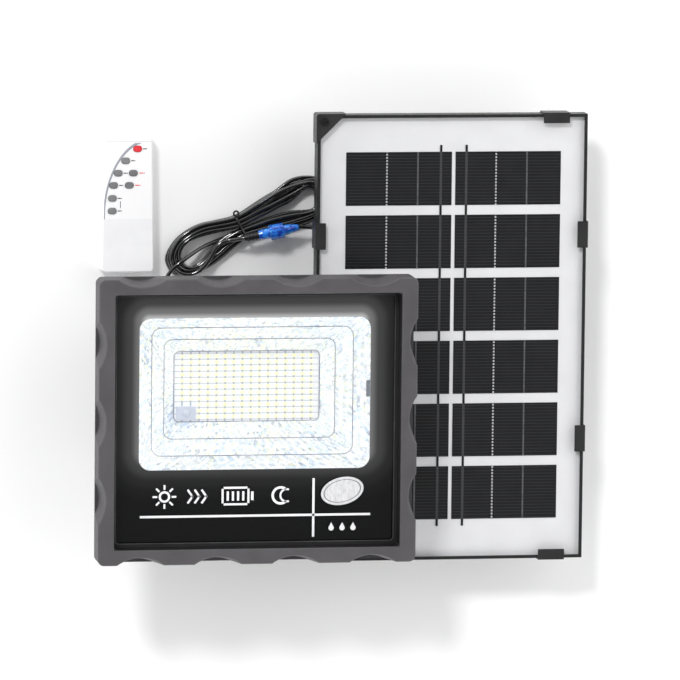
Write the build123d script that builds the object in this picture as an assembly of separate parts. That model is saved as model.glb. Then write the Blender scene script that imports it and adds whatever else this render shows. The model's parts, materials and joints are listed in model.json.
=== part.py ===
from build123d import *
import math
import os

# A solar flood light kit, in millimetres, +Z up. The lamp head and the solar panel stand
# face up on their own U brackets, whose feet lie in one plane, z = 0. The hand remote and
# the tied lead lie on that plane beside them. The origin is the middle of the kit's base.

# ---- Where each piece of the kit stands in plan -------------------------------------
LAMP_X, LAMP_Y = -73.0, -53.4
PANEL_X, PANEL_Y = 88.8, 0.0
REMOTE_X, REMOTE_Y = -160.0, 103.5

# ---- Lamp head ----------------------------------------------------------------------
LAMP_WIDTH, LAMP_HEIGHT = 246.0, 220.0
LAMP_FRONT_Z = 124.0
BEZEL_DEPTH = 20.0
BEZEL_CORNER = 5.0
OPENING_WIDTH, OPENING_HEIGHT = 221.0, 196.0
OPENING_CORNER = 3.0
LEDGE_WIDTH = 7.0
LEDGE_DEPTH = 1.5
SCALLOP_PITCH = 60.0
SCALLOP_RADIUS = 31.5
SCALLOP_DEPTH_FRONT = 6.0
SCALLOP_DEPTH_REAR = 2.7
GLASS_THICKNESS = 3.5
GASKET_WIDTH = 2.3
FLANGE_THICKNESS = 3.0
BODY_HALF_X, BODY_HALF_Y = 104.0, 92.0
BODY_DRAFT = 4.0
HOUSING_WALL = 3.0
HOUSING_BACK_Z = 56.6
FIN_HEIGHT = 4.0
FIN_THICKNESS = 2.4
FIN_PITCH = 14.0
FINS_EACH_SIDE = 5
REFLECTOR_RISE = 19.3
REFLECTOR_WALL = 1.2
REFLECTOR_FLANGE = 4.0
# Width, height, corner radius and level of each step of the reflector, mouth first
REFLECTOR_STEPS = ((178.8, 117.0, 9.0, 105.0), (155.6, 98.4, 7.0, 92.0),
                   (132.4, 76.4, 6.0, 77.0), (113.0, 54.0, 4.0, 62.0))
CHIP_COLUMNS, CHIP_ROWS = 16, 11
CHIP_PITCH_X, CHIP_PITCH_Y = 6.7, 4.7
CELL_18650_RADIUS, CELL_18650_LENGTH = 9.1, 65.0
SCREW_RADIUS = 1.95

# ---- Lamp bracket -------------------------------------------------------------------
LAMP_PIVOT_Z = 40.0
LAMP_STRAP_HALF = 11.0
LAMP_STRAP_THICKNESS = 3.0
LAMP_LEG_INNER = 39.0
LAMP_HOLE_SPACING = 50.0
LAMP_HOLE_RADIUS = 4.2
LAMP_BOLT_RADIUS = 4.0
PIVOT_CLEARANCE = 0.06
FACE_GAP = 0.3

# ---- Solar panel --------------------------------------------------------------------
PANEL_WIDTH, PANEL_HEIGHT = 212.0, 348.0
PANEL_TOP_Z, PANEL_BOTTOM_Z = 49.0, 34.0
RAIL_WALL = 1.6
RAIL_LIP = 2.4
RAIL_LIP_THICKNESS = 1.2
RAIL_SHELF = 6.0
RAIL_FLANGE = 12.0
SHELF_Z = 44.8
BACKSHEET_THICKNESS = 0.4
CELL_THICKNESS = 0.3
BUSBAR_THICKNESS = 0.1
RIBBON_THICKNESS = 0.15
CELL_WIDTH, CELL_HEIGHT = 83.0, 41.6
CELL_PITCH_X, CELL_PITCH_Y = 85.8, 49.2
CELL_ROWS = 6
CELLS_SHIFT_X, CELLS_SHIFT_Y = 1.4, 1.0
BUSBARS_IN_CELL = (-9.5, 14.8)
RIBBONS_AT = (-8.6, 11.4)
CLIP_LENGTH = 20.6
CLIP_THICKNESS = 1.2
CLIP_REACH = 7.0
CLIP_OFFSET_Y = 80.0
CLIP_OFFSET_X = 81.5
GUSSET_LEG = 22.0
BOX_Y = 112.0

# ---- Panel bracket ------------------------------------------------------------------
PANEL_PIVOT_Z = 22.0
PANEL_STRAP_HALF = 9.0
PANEL_STRAP_THICKNESS = 2.5
PANEL_LEG_INNER = 50.3
PANEL_HOLE_SPACING = 60.0
PANEL_HOLE_RADIUS = 3.3
PANEL_BOLT_RADIUS = 3.0

# ---- Leads and connector ------------------------------------------------------------
CORD_DIAMETER = 3.2
LAMP_GLAND_X, LAMP_GLAND_Y = -131.0, 7.5
GLAND_MOUTH_Z = 42.0
HANK_TIE_X, HANK_TIE_Y = -70.1, 82.5
HANK_LEFT_ANGLE, HANK_RIGHT_ANGLE = 28.8, 19.3
HANK_LAYERS = 3
# Station along the hank from its tie, then its reach to the upper and the lower side
HANK_SIDES = ((-58, 10.4, 10.4), (-45, 17.9, 15.0), (-29, 18.5, 15.0), (-15, 13.8, 12.2),
              (0, 9.9, 9.9), (17, 13.9, 11.0), (28, 17.0, 13.5), (39, 20.7, 16.0),
              (49, 22.0, 16.0), (58, 21.2, 14.5), (68, 17.6, 10.5))
HANK_LEFT_TIP, HANK_RIGHT_TIP = -64.5, 79.0
PLUG_START = Vector(-68.9, 75.4, 16.1)
PLUG_ANGLE = 10.9
BOOT_LENGTH = 11.5
PLUG_LENGTH = 14.5
SOCKET_LENGTH = 17.3
NUT_FROM, NUT_LENGTH = 20.5, 10.5
PLUG_RADIUS = 4.0
NUT_RADIUS = 5.9
LAMP_LEAD_ROUTE = ((-131.0, 7.5, 42.0), (-131.0, 7.9, 28.0), (-131.4, 12.5, 13.5),
                   (-131.6, 23.5, 3.6), (-130.6, 37.0, 2.8), (-128.0, 50.0, 7.0))
PLUG_TAIL_ROUTE = ((-80.0, 73.3, 11.4), (-76.5, 73.9, 12.9), (-72.4, 74.7, 14.9),
                   (-67.5, 75.7, 16.1))
PANEL_LEAD_ROUTE = ((88.8, 75.5, 36.0), (88.8, 63.5, 35.4), (87.0, 50.5, 28.5),
                    (80.5, 40.5, 17.0), (68.5, 36.0, 7.0), (54.5, 38.5, 2.6),
                    (40.5, 46.5, 2.2), (27.0, 57.5, 2.4), (12.5, 69.0, 4.4),
                    (-1.0, 78.5, 9.6), (-13.5, 83.5, 14.0), (-25.9, 83.7, 16.1))

# ---- Remote -------------------------------------------------------------------------
REMOTE_LENGTH = 107.8
REMOTE_TOP_WIDTH, REMOTE_BOTTOM_WIDTH = 36.5, 40.8
REMOTE_THICKNESS = 16.0
REMOTE_SPLIT_Z = 8.0
REMOTE_WALL = 1.8
REMOTE_CORNER = 3.0
DOOR_WIDTH, DOOR_LENGTH, DOOR_THICKNESS = 30.0, 48.0, 1.5
AAA_RADIUS, AAA_LENGTH = 5.2, 44.0
BUTTON_RISE = 0.9
BUTTON_LENGTH, BUTTON_DEPTH = 6.6, 4.6
BUTTON_FLANGE = 0.6
BUTTON_FLANGE_REACH = 0.7
# Each button's name and its place from the remote's middle
BUTTONS = {
    "power": (7.2, 42.0), "brightness_up": (-2.0, 32.8), "brightness_down": (-7.8, 23.2),
    "auto": (4.0, 23.2), "timer_short": (-11.3, 13.7), "timer_medium": (0.9, 13.7),
    "timer_long": (-12.2, 3.6), "dim": (-12.3, -6.2),
}

PANEL_LEFT_X = PANEL_X - PANEL_WIDTH / 2
PANEL_RIGHT_X = PANEL_X + PANEL_WIDTH / 2
PANEL_LOW_Y = PANEL_Y - PANEL_HEIGHT / 2
PANEL_HIGH_Y = PANEL_Y + PANEL_HEIGHT / 2
BEZEL_REAR_Z = LAMP_FRONT_Z - BEZEL_DEPTH
GLASS_BOTTOM_Z = BEZEL_REAR_Z + LEDGE_DEPTH
HOUSING_FLOOR_Z = HOUSING_BACK_Z + HOUSING_WALL
REFLECTOR_Y = LAMP_Y + REFLECTOR_RISE
HANK_HEIGHT = HANK_LAYERS * CORD_DIAMETER
PLUG_DIRECTION = Vector(math.cos(math.radians(PLUG_ANGLE)), math.sin(math.radians(PLUG_ANGLE)), 0)


# ---- Helpers ------------------------------------------------------------------------
def block(x, y, z):
    """A box from three (low, high) pairs."""
    size = [side[1] - side[0] for side in (x, y, z)]
    middle = [(side[0] + side[1]) / 2 for side in (x, y, z)]
    return Pos(*middle) * Box(*size)


def slab(x, y, width, height, radius, low, high):
    """A plate with rounded corners, centred on x, y."""
    return extrude(Pos(x, y, low) * RectangleRounded(width, height, radius), high - low)


def post(x, y, radius, low, high):
    return Pos(x, y, (low + high) / 2) * Cylinder(radius, high - low)


def cross_rod(x_low, x_high, y, z, radius):
    """A round bar along X."""
    return Pos((x_low + x_high) / 2, y, z) * Rot(0, 90, 0) * Cylinder(radius, x_high - x_low)


def hexagon_across_x(x_low, x_high, y, z, radius):
    """A hexagonal prism along X."""
    plane = Plane(origin=(x_low, y, z), x_dir=(0, 1, 0), z_dir=(1, 0, 0))
    return extrude(plane * RegularPolygon(radius, 6), x_high - x_low)


def tapered(x, y, low_size, high_size, radius, low, high):
    """A rounded rectangle at low joined straight to another one at high."""
    bottom = Pos(x, y, low) * RectangleRounded(*low_size, radius)
    top = Pos(x, y, high) * RectangleRounded(*high_size, radius)
    return loft([bottom, top])


def corner_radii(route):
    """The largest arcs that a route's runs allow, one for each inner point."""
    radii = []
    for before, here, after in zip(route, route[1:], route[2:]):
        into = Vector(*here) - Vector(*before)
        out = Vector(*after) - Vector(*here)
        half_turn = math.radians(into.get_angle(out)) / 2
        radii.append(0.45 * min(into.length, out.length) / math.tan(half_turn))
    return radii


def cord_tube(name, route):
    """A round lead along straight runs and tangent arcs. Prints its length and its arcs."""
    radii = corner_radii(route)
    path = FilletPolyline(*route, radius=radii)
    section = Plane(origin=path @ 0, z_dir=path % 0) * Circle(CORD_DIAMETER / 2)
    tube = sweep(section, path=path)
    expected = math.pi * (CORD_DIAMETER / 2) ** 2 * path.length
    print(f"{name}: {path.length:.1f} mm, volume {tube.volume / expected:.4f} of section x length")
    print("  radii " + ", ".join(f"{radius:.1f}" for radius in radii))
    return tube


def plug_part(start, end, radius, end_radius=None):
    """A round piece on the connector's axis, by its distances from the boot's rear end."""
    plane = Plane(origin=PLUG_START + PLUG_DIRECTION * start, z_dir=PLUG_DIRECTION)
    if end_radius is None:
        return extrude(plane * Circle(radius), end - start)
    return loft([plane * Circle(radius), plane.offset(end - start) * Circle(end_radius)])


# ---- Lamp head ----------------------------------------------------------------------
def scallops():
    """The slanted bites out of the bezel's outer wall, deeper at the front."""
    centre_distance = SCALLOP_RADIUS - SCALLOP_DEPTH_FRONT
    rear_radius = centre_distance + SCALLOP_DEPTH_REAR
    bite = Cone(rear_radius, SCALLOP_RADIUS, BEZEL_DEPTH)
    middle_z = LAMP_FRONT_Z - BEZEL_DEPTH / 2
    cutters = []
    for side in (-1, 1):
        for step in (-1.5, -0.5, 0.5, 1.5):
            y = LAMP_Y + side * (LAMP_HEIGHT / 2 + centre_distance)
            cutters.append(Pos(LAMP_X + step * SCALLOP_PITCH, y, middle_z) * bite)
        for step in (-1, 0, 1):
            x = LAMP_X + side * (LAMP_WIDTH / 2 + centre_distance)
            cutters.append(Pos(x, LAMP_Y + step * SCALLOP_PITCH, middle_z) * bite)
    return cutters


def bezel_screw_places():
    places = [(sx * SCALLOP_PITCH, sy * 103.5) for sx in (-1, 1) for sy in (-1, 1)]
    places += [(sx * 116.8, sy * SCALLOP_PITCH / 2) for sx in (-1, 1) for sy in (-1, 1)]
    return [(LAMP_X + x, LAMP_Y + y) for x, y in places]


def lamp_bezel():
    frame = slab(LAMP_X, LAMP_Y, LAMP_WIDTH, LAMP_HEIGHT, BEZEL_CORNER, BEZEL_REAR_Z, LAMP_FRONT_Z)
    frame -= slab(LAMP_X, LAMP_Y, OPENING_WIDTH, OPENING_HEIGHT, OPENING_CORNER,
                  GLASS_BOTTOM_Z, LAMP_FRONT_Z)
    frame -= slab(LAMP_X, LAMP_Y, OPENING_WIDTH - 2 * LEDGE_WIDTH, OPENING_HEIGHT - 2 * LEDGE_WIDTH,
                  OPENING_CORNER, BEZEL_REAR_Z, LAMP_FRONT_Z)
    for cutter in scallops():
        frame -= cutter
    front_rim = frame.faces().sort_by(Axis.Z)[-1].edges()
    frame = chamfer(front_rim, 0.8)
    for x, y in bezel_screw_places():
        frame -= post(x, y, SCREW_RADIUS, BEZEL_REAR_Z, BEZEL_REAR_Z + 8)
    return frame


def bezel_screws():
    flange_rear = BEZEL_REAR_Z - FLANGE_THICKNESS
    screws = []
    for x, y in bezel_screw_places():
        screw = post(x, y, SCREW_RADIUS, flange_rear, BEZEL_REAR_Z + 7)
        screw += post(x, y, 3.6, flange_rear - 2.5, flange_rear)
        screw -= Pos(x, y, flange_rear - 2.5) * Box(4.6, 0.9, 2.4)
        screws.append(screw)
    return Compound(children=screws)


def lamp_glass():
    width = OPENING_WIDTH - 2 * GASKET_WIDTH - 0.2
    height = OPENING_HEIGHT - 2 * GASKET_WIDTH - 0.2
    top = GLASS_BOTTOM_Z + GLASS_THICKNESS
    return slab(LAMP_X, LAMP_Y, width, height, OPENING_CORNER, GLASS_BOTTOM_Z, top)


def glass_gasket():
    top = GLASS_BOTTOM_Z + GLASS_THICKNESS + 0.6
    width, height = OPENING_WIDTH - 0.1, OPENING_HEIGHT - 0.1
    ring = slab(LAMP_X, LAMP_Y, width, height, OPENING_CORNER, GLASS_BOTTOM_Z, top)
    ring -= slab(LAMP_X, LAMP_Y, width - 2 * GASKET_WIDTH, height - 2 * GASKET_WIDTH,
                 OPENING_CORNER, GLASS_BOTTOM_Z, top)
    return ring


def reflector_core(growth):
    """The reflector's hollow, or with growth the outside of its wall."""
    stages = []
    for upper, lower in zip(REFLECTOR_STEPS, REFLECTOR_STEPS[1:]):
        top = Pos(LAMP_X, REFLECTOR_Y, upper[3]) * RectangleRounded(
            upper[0] + 2 * growth, upper[1] + 2 * growth, upper[2] + growth)
        bottom = Pos(LAMP_X, REFLECTOR_Y, lower[3]) * RectangleRounded(
            lower[0] + 2 * growth, lower[1] + 2 * growth, lower[2] + growth)
        stages.append(loft([bottom, top]))
    return stages[0] + stages[1] + stages[2]


def reflector():
    mouth = REFLECTOR_STEPS[0]
    cup = reflector_core(REFLECTOR_WALL)
    cup += slab(LAMP_X, REFLECTOR_Y, mouth[0] + 2 * REFLECTOR_FLANGE,
                mouth[1] + 2 * REFLECTOR_FLANGE, mouth[2] + REFLECTOR_FLANGE, mouth[3] - 1, mouth[3])
    return cup - reflector_core(0)


def led_board():
    floor = REFLECTOR_STEPS[-1]
    return slab(LAMP_X, REFLECTOR_Y, floor[0] + 6, floor[1] + 6, 3, HOUSING_FLOOR_Z, floor[3] - 0.4)


def receiver_box():
    """The corner of the LED board that the infrared receiver takes."""
    floor = REFLECTOR_STEPS[-1]
    left = LAMP_X - floor[0] / 2 + 1.5
    low = REFLECTOR_Y - floor[1] / 2 + 1.5
    return (left, left + 15.0), (low, low + 10.4)


def led_chips():
    board_top = REFLECTOR_STEPS[-1][3] - 0.4
    taken_x, taken_y = receiver_box()
    chips = []
    for column in range(CHIP_COLUMNS):
        for row in range(CHIP_ROWS):
            x = LAMP_X + (column - (CHIP_COLUMNS - 1) / 2) * CHIP_PITCH_X
            y = REFLECTOR_Y + (row - (CHIP_ROWS - 1) / 2) * CHIP_PITCH_Y
            if x < taken_x[1] + 2 and y < taken_y[1] + 2:
                continue
            chips.append(block((x - 1.75, x + 1.75), (y - 1.4, y + 1.4), (board_top, board_top + 0.7)))
    return Compound(children=chips)


def ir_receiver():
    board_top = REFLECTOR_STEPS[-1][3] - 0.4
    x, y = receiver_box()
    body = block(x, y, (board_top, board_top + 4))
    dome = Pos((x[0] + x[1]) / 2, (y[0] + y[1]) / 2, board_top + 4) * Sphere(2.6)
    return body + dome


def lamp_lugs():
    """The two ears on the housing's back that the bracket's legs bolt to."""
    ears = []
    for side in (-1, 1):
        outer = LAMP_X + side * (LAMP_LEG_INNER - FACE_GAP)
        inner = outer - side * 6.7
        x = (min(inner, outer), max(inner, outer))
        ear = block(x, (LAMP_Y - 9, LAMP_Y + 9), (LAMP_PIVOT_Z, HOUSING_BACK_Z))
        ear += cross_rod(x[0], x[1], LAMP_Y, LAMP_PIVOT_Z, 9)
        ears.append(ear)
    return ears


def housing_sizes(inset):
    """The tub's width and height at its back and at its mouth."""
    back = (2 * (BODY_HALF_X - BODY_DRAFT - inset), 2 * (BODY_HALF_Y - BODY_DRAFT - inset))
    return back, (2 * (BODY_HALF_X - inset), 2 * (BODY_HALF_Y - inset))


def housing_hollow():
    back, mouth = housing_sizes(HOUSING_WALL)
    return tapered(LAMP_X, LAMP_Y, back, mouth, 9, HOUSING_FLOOR_Z, BEZEL_REAR_Z)


def lamp_housing():
    """The cast back tub, with the straight flange that the bezel is screwed to from behind."""
    flange_rear = BEZEL_REAR_Z - FLANGE_THICKNESS
    outside_low, outside_high = housing_sizes(0)
    shell = tapered(LAMP_X, LAMP_Y, outside_low, outside_high, 12, HOUSING_BACK_Z, flange_rear)
    shell += slab(LAMP_X, LAMP_Y, LAMP_WIDTH, LAMP_HEIGHT, BEZEL_CORNER, flange_rear, BEZEL_REAR_Z)
    for step in range(-FINS_EACH_SIDE, FINS_EACH_SIDE + 1):
        x = LAMP_X + step * FIN_PITCH
        shell += block((x - FIN_THICKNESS / 2, x + FIN_THICKNESS / 2),
                       (LAMP_Y - BODY_HALF_Y + 12, LAMP_Y + BODY_HALF_Y - 12),
                       (HOUSING_BACK_Z - FIN_HEIGHT, HOUSING_BACK_Z))
    shell -= post(LAMP_GLAND_X, LAMP_GLAND_Y, 11, HOUSING_BACK_Z - FIN_HEIGHT, HOUSING_BACK_Z)
    for ear in lamp_lugs():
        shell += ear
    shell -= housing_hollow()
    shell -= post(LAMP_GLAND_X, LAMP_GLAND_Y, 6, HOUSING_BACK_Z, HOUSING_FLOOR_Z)
    shell -= post(LAMP_GLAND_X - 24, LAMP_GLAND_Y, 4, HOUSING_BACK_Z, HOUSING_FLOOR_Z)
    shell -= cross_rod(LAMP_X - LAMP_LEG_INNER, LAMP_X + LAMP_LEG_INNER,
                       LAMP_Y, LAMP_PIVOT_Z, LAMP_BOLT_RADIUS)
    for x, y in bezel_screw_places():
        shell -= post(x, y, SCREW_RADIUS, flange_rear, BEZEL_REAR_Z)
    return shell


def battery_places():
    return [(LAMP_Y + y, HOUSING_FLOOR_Z + z) for y in (-54.5, -72.9) for z in (11.4, 30.0)]


def battery_cells():
    low = LAMP_X - 67
    cells = []
    for y, z in battery_places():
        cell = cross_rod(low, low + CELL_18650_LENGTH, y, z, CELL_18650_RADIUS)
        cell += cross_rod(low + CELL_18650_LENGTH, low + CELL_18650_LENGTH + 0.8, y, z, 3)
        cells.append(cell)
    return Compound(children=cells)


def battery_holder():
    low = LAMP_X - 67
    high = low + CELL_18650_LENGTH + 1.2
    y = (LAMP_Y - 82.5, LAMP_Y - 45)
    tray = block((low - 3, high + 3), y, (HOUSING_FLOOR_Z, HOUSING_FLOOR_Z + 1.8))
    tray += block((low - 3, low - 0.2), y, (HOUSING_FLOOR_Z, HOUSING_FLOOR_Z + 38))
    tray += block((high, high + 3), y, (HOUSING_FLOOR_Z, HOUSING_FLOOR_Z + 38))
    return tray


def controller_board():
    x = (LAMP_X + 12, LAMP_X + 74)
    y = (LAMP_Y - 82, LAMP_Y - 48)
    z = HOUSING_FLOOR_Z + 6
    board = block(x, y, (z, z + 1.6))
    for post_x in (x[0] + 4, x[1] - 4):
        for post_y in (y[0] + 4, y[1] - 4):
            board += post(post_x, post_y, 2.2, HOUSING_FLOOR_Z, z)
    board += block((x[0] + 12, x[0] + 22), (y[0] + 10, y[0] + 22), (z + 1.6, z + 4))
    board += post(x[0] + 34, y[0] + 12, 5, z + 1.6, z + 13)
    board += block((x[0] + 44, x[0] + 56), (y[0] + 6, y[0] + 26), (z + 1.6, z + 8))
    return board


def lamp_gland():
    body = post(LAMP_GLAND_X, LAMP_GLAND_Y, 6, 49, HOUSING_FLOOR_Z + 4)
    collar = Pos(LAMP_GLAND_X, LAMP_GLAND_Y, 53) * RegularPolygon(9, 6)
    body += extrude(collar, HOUSING_BACK_Z - 53)
    return body - post(LAMP_GLAND_X, LAMP_GLAND_Y, CORD_DIAMETER / 2, 49, HOUSING_FLOOR_Z + 4)


def lamp_gland_nut():
    ring = extrude(Pos(LAMP_GLAND_X, LAMP_GLAND_Y, 46) * RegularPolygon(8.6, 6), 6.6)
    dome = loft([Pos(LAMP_GLAND_X, LAMP_GLAND_Y, GLAND_MOUTH_Z - 1) * Circle(3.6),
                 Pos(LAMP_GLAND_X, LAMP_GLAND_Y, 46) * Circle(7.2)])
    nut = ring + dome
    nut -= post(LAMP_GLAND_X, LAMP_GLAND_Y, 6, 49, 52.6)
    return nut - post(LAMP_GLAND_X, LAMP_GLAND_Y, CORD_DIAMETER / 2, GLAND_MOUTH_Z - 1, 49)


def breather_vent():
    x = LAMP_GLAND_X - 24
    vent = post(x, LAMP_GLAND_Y, 4, HOUSING_BACK_Z, HOUSING_FLOOR_Z + 2)
    vent += post(x, LAMP_GLAND_Y, 7, HOUSING_BACK_Z - 3, HOUSING_BACK_Z)
    return vent


# ---- U brackets ---------------------------------------------------------------------
def u_bracket(x, y, pivot_z, leg_inner, thickness, half, hole_spacing, hole_radius, pin_radius):
    """A strap bent into a U, with round ends about the pivot and two fixing holes in its foot."""
    outer = leg_inner + thickness
    strap = block((x - outer, x + outer), (y - half, y + half), (0, thickness))
    for side in (-1, 1):
        near, far = sorted((x + side * leg_inner, x + side * outer))
        strap += block((near, far), (y - half, y + half), (0, pivot_z))
        strap += cross_rod(near, far, y, pivot_z, half)
        strap -= cross_rod(near, far, y, pivot_z, pin_radius)
        strap -= post(x + side * hole_spacing / 2, y, hole_radius, 0, thickness)
    return strap


def pivot_bolts(x, y, z, leg_inner, thickness, lug_thickness, radius, head):
    """Bolts from outside each leg through the lug, heads outward."""
    bolts = []
    for side in (-1, 1):
        tip = leg_inner - FACE_GAP - lug_thickness - 9
        under_head = leg_inner + thickness + FACE_GAP
        low, high = sorted((x + side * tip, x + side * under_head))
        bolt = cross_rod(low, high, y, z, radius)
        low, high = sorted((x + side * under_head, x + side * (under_head + head)))
        bolt += hexagon_across_x(low, high, y, z, radius * 1.6)
        bolts.append(bolt)
    return Compound(children=bolts)


def pivot_nuts(x, y, z, leg_inner, lug_thickness, radius):
    nuts = []
    for side in (-1, 1):
        face = leg_inner - FACE_GAP - lug_thickness
        low, high = sorted((x + side * face, x + side * (face - 6)))
        nut = hexagon_across_x(low, high, y, z, radius * 1.75)
        nuts.append(nut - cross_rod(low, high, y, z, radius))
    return Compound(children=nuts)


# ---- Solar panel --------------------------------------------------------------------
def rail_profile():
    """The frame's section: x inward from its outer face, y up from its bottom."""
    height = PANEL_TOP_Z - PANEL_BOTTOM_Z
    shelf = SHELF_Z - PANEL_BOTTOM_Z
    section = Pos(RAIL_WALL / 2, height / 2) * Rectangle(RAIL_WALL, height)
    section += Pos(RAIL_LIP / 2, height - RAIL_LIP_THICKNESS / 2) * Rectangle(
        RAIL_LIP, RAIL_LIP_THICKNESS)
    section += Pos(RAIL_SHELF / 2, shelf - 0.6) * Rectangle(RAIL_SHELF, 1.2)
    section += Pos(RAIL_FLANGE / 2, 0.7) * Rectangle(RAIL_FLANGE, 1.4)
    return section


def side_rail(side):
    """A rail along Y, the panel's whole height. side is -1 for the left one."""
    x = PANEL_X + side * PANEL_WIDTH / 2
    plane = Plane(origin=(x, PANEL_Y, PANEL_BOTTOM_Z), x_dir=(-side, 0, 0), z_dir=(0, side, 0))
    return extrude(plane * rail_profile(), PANEL_HEIGHT / 2, both=True)


def end_rail(side):
    """A rail along X, between the side rails' walls. side is 1 for the top one."""
    y = PANEL_Y + side * PANEL_HEIGHT / 2
    plane = Plane(origin=(PANEL_X, y, PANEL_BOTTOM_Z), x_dir=(0, -side, 0), z_dir=(-side, 0, 0))
    rail = extrude(plane * rail_profile(), PANEL_WIDTH / 2 - RAIL_WALL, both=True)
    for end in (-1, 1):
        outer = PANEL_X + end * PANEL_WIDTH / 2
        for reach, low, high in ((RAIL_LIP, PANEL_TOP_Z - RAIL_LIP_THICKNESS, PANEL_TOP_Z),
                                 (RAIL_SHELF, SHELF_Z - 1.2, SHELF_Z),
                                 (RAIL_FLANGE, PANEL_BOTTOM_Z, PANEL_BOTTOM_Z + 1.4)):
            x = sorted((outer, outer - end * reach))
            rail -= block(x, (y - RAIL_FLANGE - 1, y + RAIL_FLANGE + 1), (low, high))
    return rail


def laminate(low, high, inset=RAIL_WALL + 0.2):
    """One sheet of the glass and backsheet stack."""
    return block((PANEL_LEFT_X + inset, PANEL_RIGHT_X - inset),
                 (PANEL_LOW_Y + inset, PANEL_HIGH_Y - inset), (low, high))


def cell_places():
    places = []
    for column in (-0.5, 0.5):
        for row in range(CELL_ROWS):
            x = PANEL_X + CELLS_SHIFT_X + column * CELL_PITCH_X
            y = PANEL_Y + CELLS_SHIFT_Y + (row - (CELL_ROWS - 1) / 2) * CELL_PITCH_Y
            places.append((x, y))
    return places


def solar_cells():
    low = SHELF_Z + BACKSHEET_THICKNESS
    cells = []
    for x, y in cell_places():
        cells.append(block((x - CELL_WIDTH / 2, x + CELL_WIDTH / 2),
                           (y - CELL_HEIGHT / 2, y + CELL_HEIGHT / 2), (low, low + CELL_THICKNESS)))
    return Compound(children=cells)


def cell_busbars():
    low = SHELF_Z + BACKSHEET_THICKNESS + CELL_THICKNESS
    bars = []
    for x, y in cell_places():
        for offset in BUSBARS_IN_CELL:
            bars.append(block((x + offset - 0.6, x + offset + 0.6),
                              (y - CELL_HEIGHT / 2, y + CELL_HEIGHT / 2),
                              (low, low + BUSBAR_THICKNESS)))
    return Compound(children=bars)


def string_ribbons():
    low = SHELF_Z + BACKSHEET_THICKNESS + CELL_THICKNESS
    middle_y = PANEL_Y + CELLS_SHIFT_Y
    half = 3 * CELL_PITCH_Y + 1.5
    ribbons = []
    for offset in RIBBONS_AT:
        x = PANEL_X + offset
        ribbons.append(block((x - 0.9, x + 0.9), (middle_y - half, middle_y + half),
                             (low, low + RIBBON_THICKNESS)))
    return Compound(children=ribbons)


def edge_clip():
    """A clip over a rail that runs along Y at its left, with the rail's outer face at x = 0."""
    half = CLIP_LENGTH / 2
    clip = block((-CLIP_THICKNESS, 0), (-half, half), (PANEL_BOTTOM_Z - 0.8, PANEL_TOP_Z))
    clip += block((-CLIP_THICKNESS, CLIP_REACH), (-half, half),
                  (PANEL_TOP_Z, PANEL_TOP_Z + CLIP_THICKNESS))
    clip += block((-CLIP_THICKNESS, CLIP_REACH), (-half, half), (PANEL_BOTTOM_Z - 0.8, PANEL_BOTTOM_Z))
    return clip


def edge_clips():
    clips = []
    for offset in (-CLIP_OFFSET_Y, CLIP_OFFSET_Y):
        clips.append(Pos(PANEL_LEFT_X, offset, 0) * edge_clip())
        clips.append(Pos(PANEL_RIGHT_X, offset, 0) * Rot(0, 0, 180) * edge_clip())
    clips.append(Pos(PANEL_X + CLIP_OFFSET_X, PANEL_HIGH_Y, 0) * Rot(0, 0, -90) * edge_clip())
    clips.append(Pos(PANEL_X + CLIP_OFFSET_X, PANEL_LOW_Y, 0) * Rot(0, 0, 90) * edge_clip())
    return Compound(children=clips)


def corner_gusset():
    """The triangular cap on the panel's upper left corner, with a hole for its screw."""
    out = CLIP_THICKNESS
    corner = Polyline((-out, out), (GUSSET_LEG, out), (-out, -GUSSET_LEG), close=True)
    cap = extrude(make_face(corner), PANEL_TOP_Z - PANEL_BOTTOM_Z + 1.4)
    cap = fillet(cap.edges().filter_by(Axis.Z).sort_by(Axis.X)[0:2].sort_by(Axis.Y)[-1], 2.2)
    cap = Pos(PANEL_LEFT_X, PANEL_HIGH_Y, PANEL_BOTTOM_Z) * cap
    cap -= block((PANEL_LEFT_X, PANEL_RIGHT_X), (PANEL_LOW_Y, PANEL_HIGH_Y),
                 (PANEL_BOTTOM_Z, PANEL_TOP_Z))
    return cap - post(PANEL_LEFT_X + 5.2, PANEL_HIGH_Y - 5.2, 1.6, PANEL_TOP_Z, PANEL_TOP_Z + 3)


def gusset_screw():
    x, y = PANEL_LEFT_X + 5.2, PANEL_HIGH_Y - 5.2
    screw = post(x, y, 1.5, PANEL_TOP_Z, PANEL_TOP_Z + 1.4)
    screw += post(x, y, 3.2, PANEL_TOP_Z + 1.4, PANEL_TOP_Z + 2.6)
    screw -= Pos(x, y, PANEL_TOP_Z + 2.6) * Box(4.0, 0.8, 1.2)
    return screw


def panel_lugs():
    ears = []
    for side in (-1, 1):
        outer = PANEL_X + side * (PANEL_LEG_INNER - FACE_GAP)
        low, high = sorted((outer, outer - side * 4))
        ear = block((low, high), (PANEL_Y - 7, PANEL_Y + 7), (PANEL_PIVOT_Z, PANEL_BOTTOM_Z - 2))
        ear += cross_rod(low, high, PANEL_Y, PANEL_PIVOT_Z, 7)
        ears.append(ear - cross_rod(low, high, PANEL_Y, PANEL_PIVOT_Z, PANEL_BOLT_RADIUS))
    return ears


def crossbar_screw_places():
    return [(PANEL_X + sx * (PANEL_WIDTH / 2 - 7), PANEL_Y + sy * 9) for sx in (-1, 1) for sy in (-1, 1)]


def panel_crossbar():
    bar = block((PANEL_LEFT_X + 1, PANEL_RIGHT_X - 1), (PANEL_Y - 15, PANEL_Y + 15),
                (PANEL_BOTTOM_Z - 2, PANEL_BOTTOM_Z))
    for ear in panel_lugs():
        bar += ear
    for x, y in crossbar_screw_places():
        bar -= post(x, y, SCREW_RADIUS, PANEL_BOTTOM_Z - 2, PANEL_BOTTOM_Z)
    return bar


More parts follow.
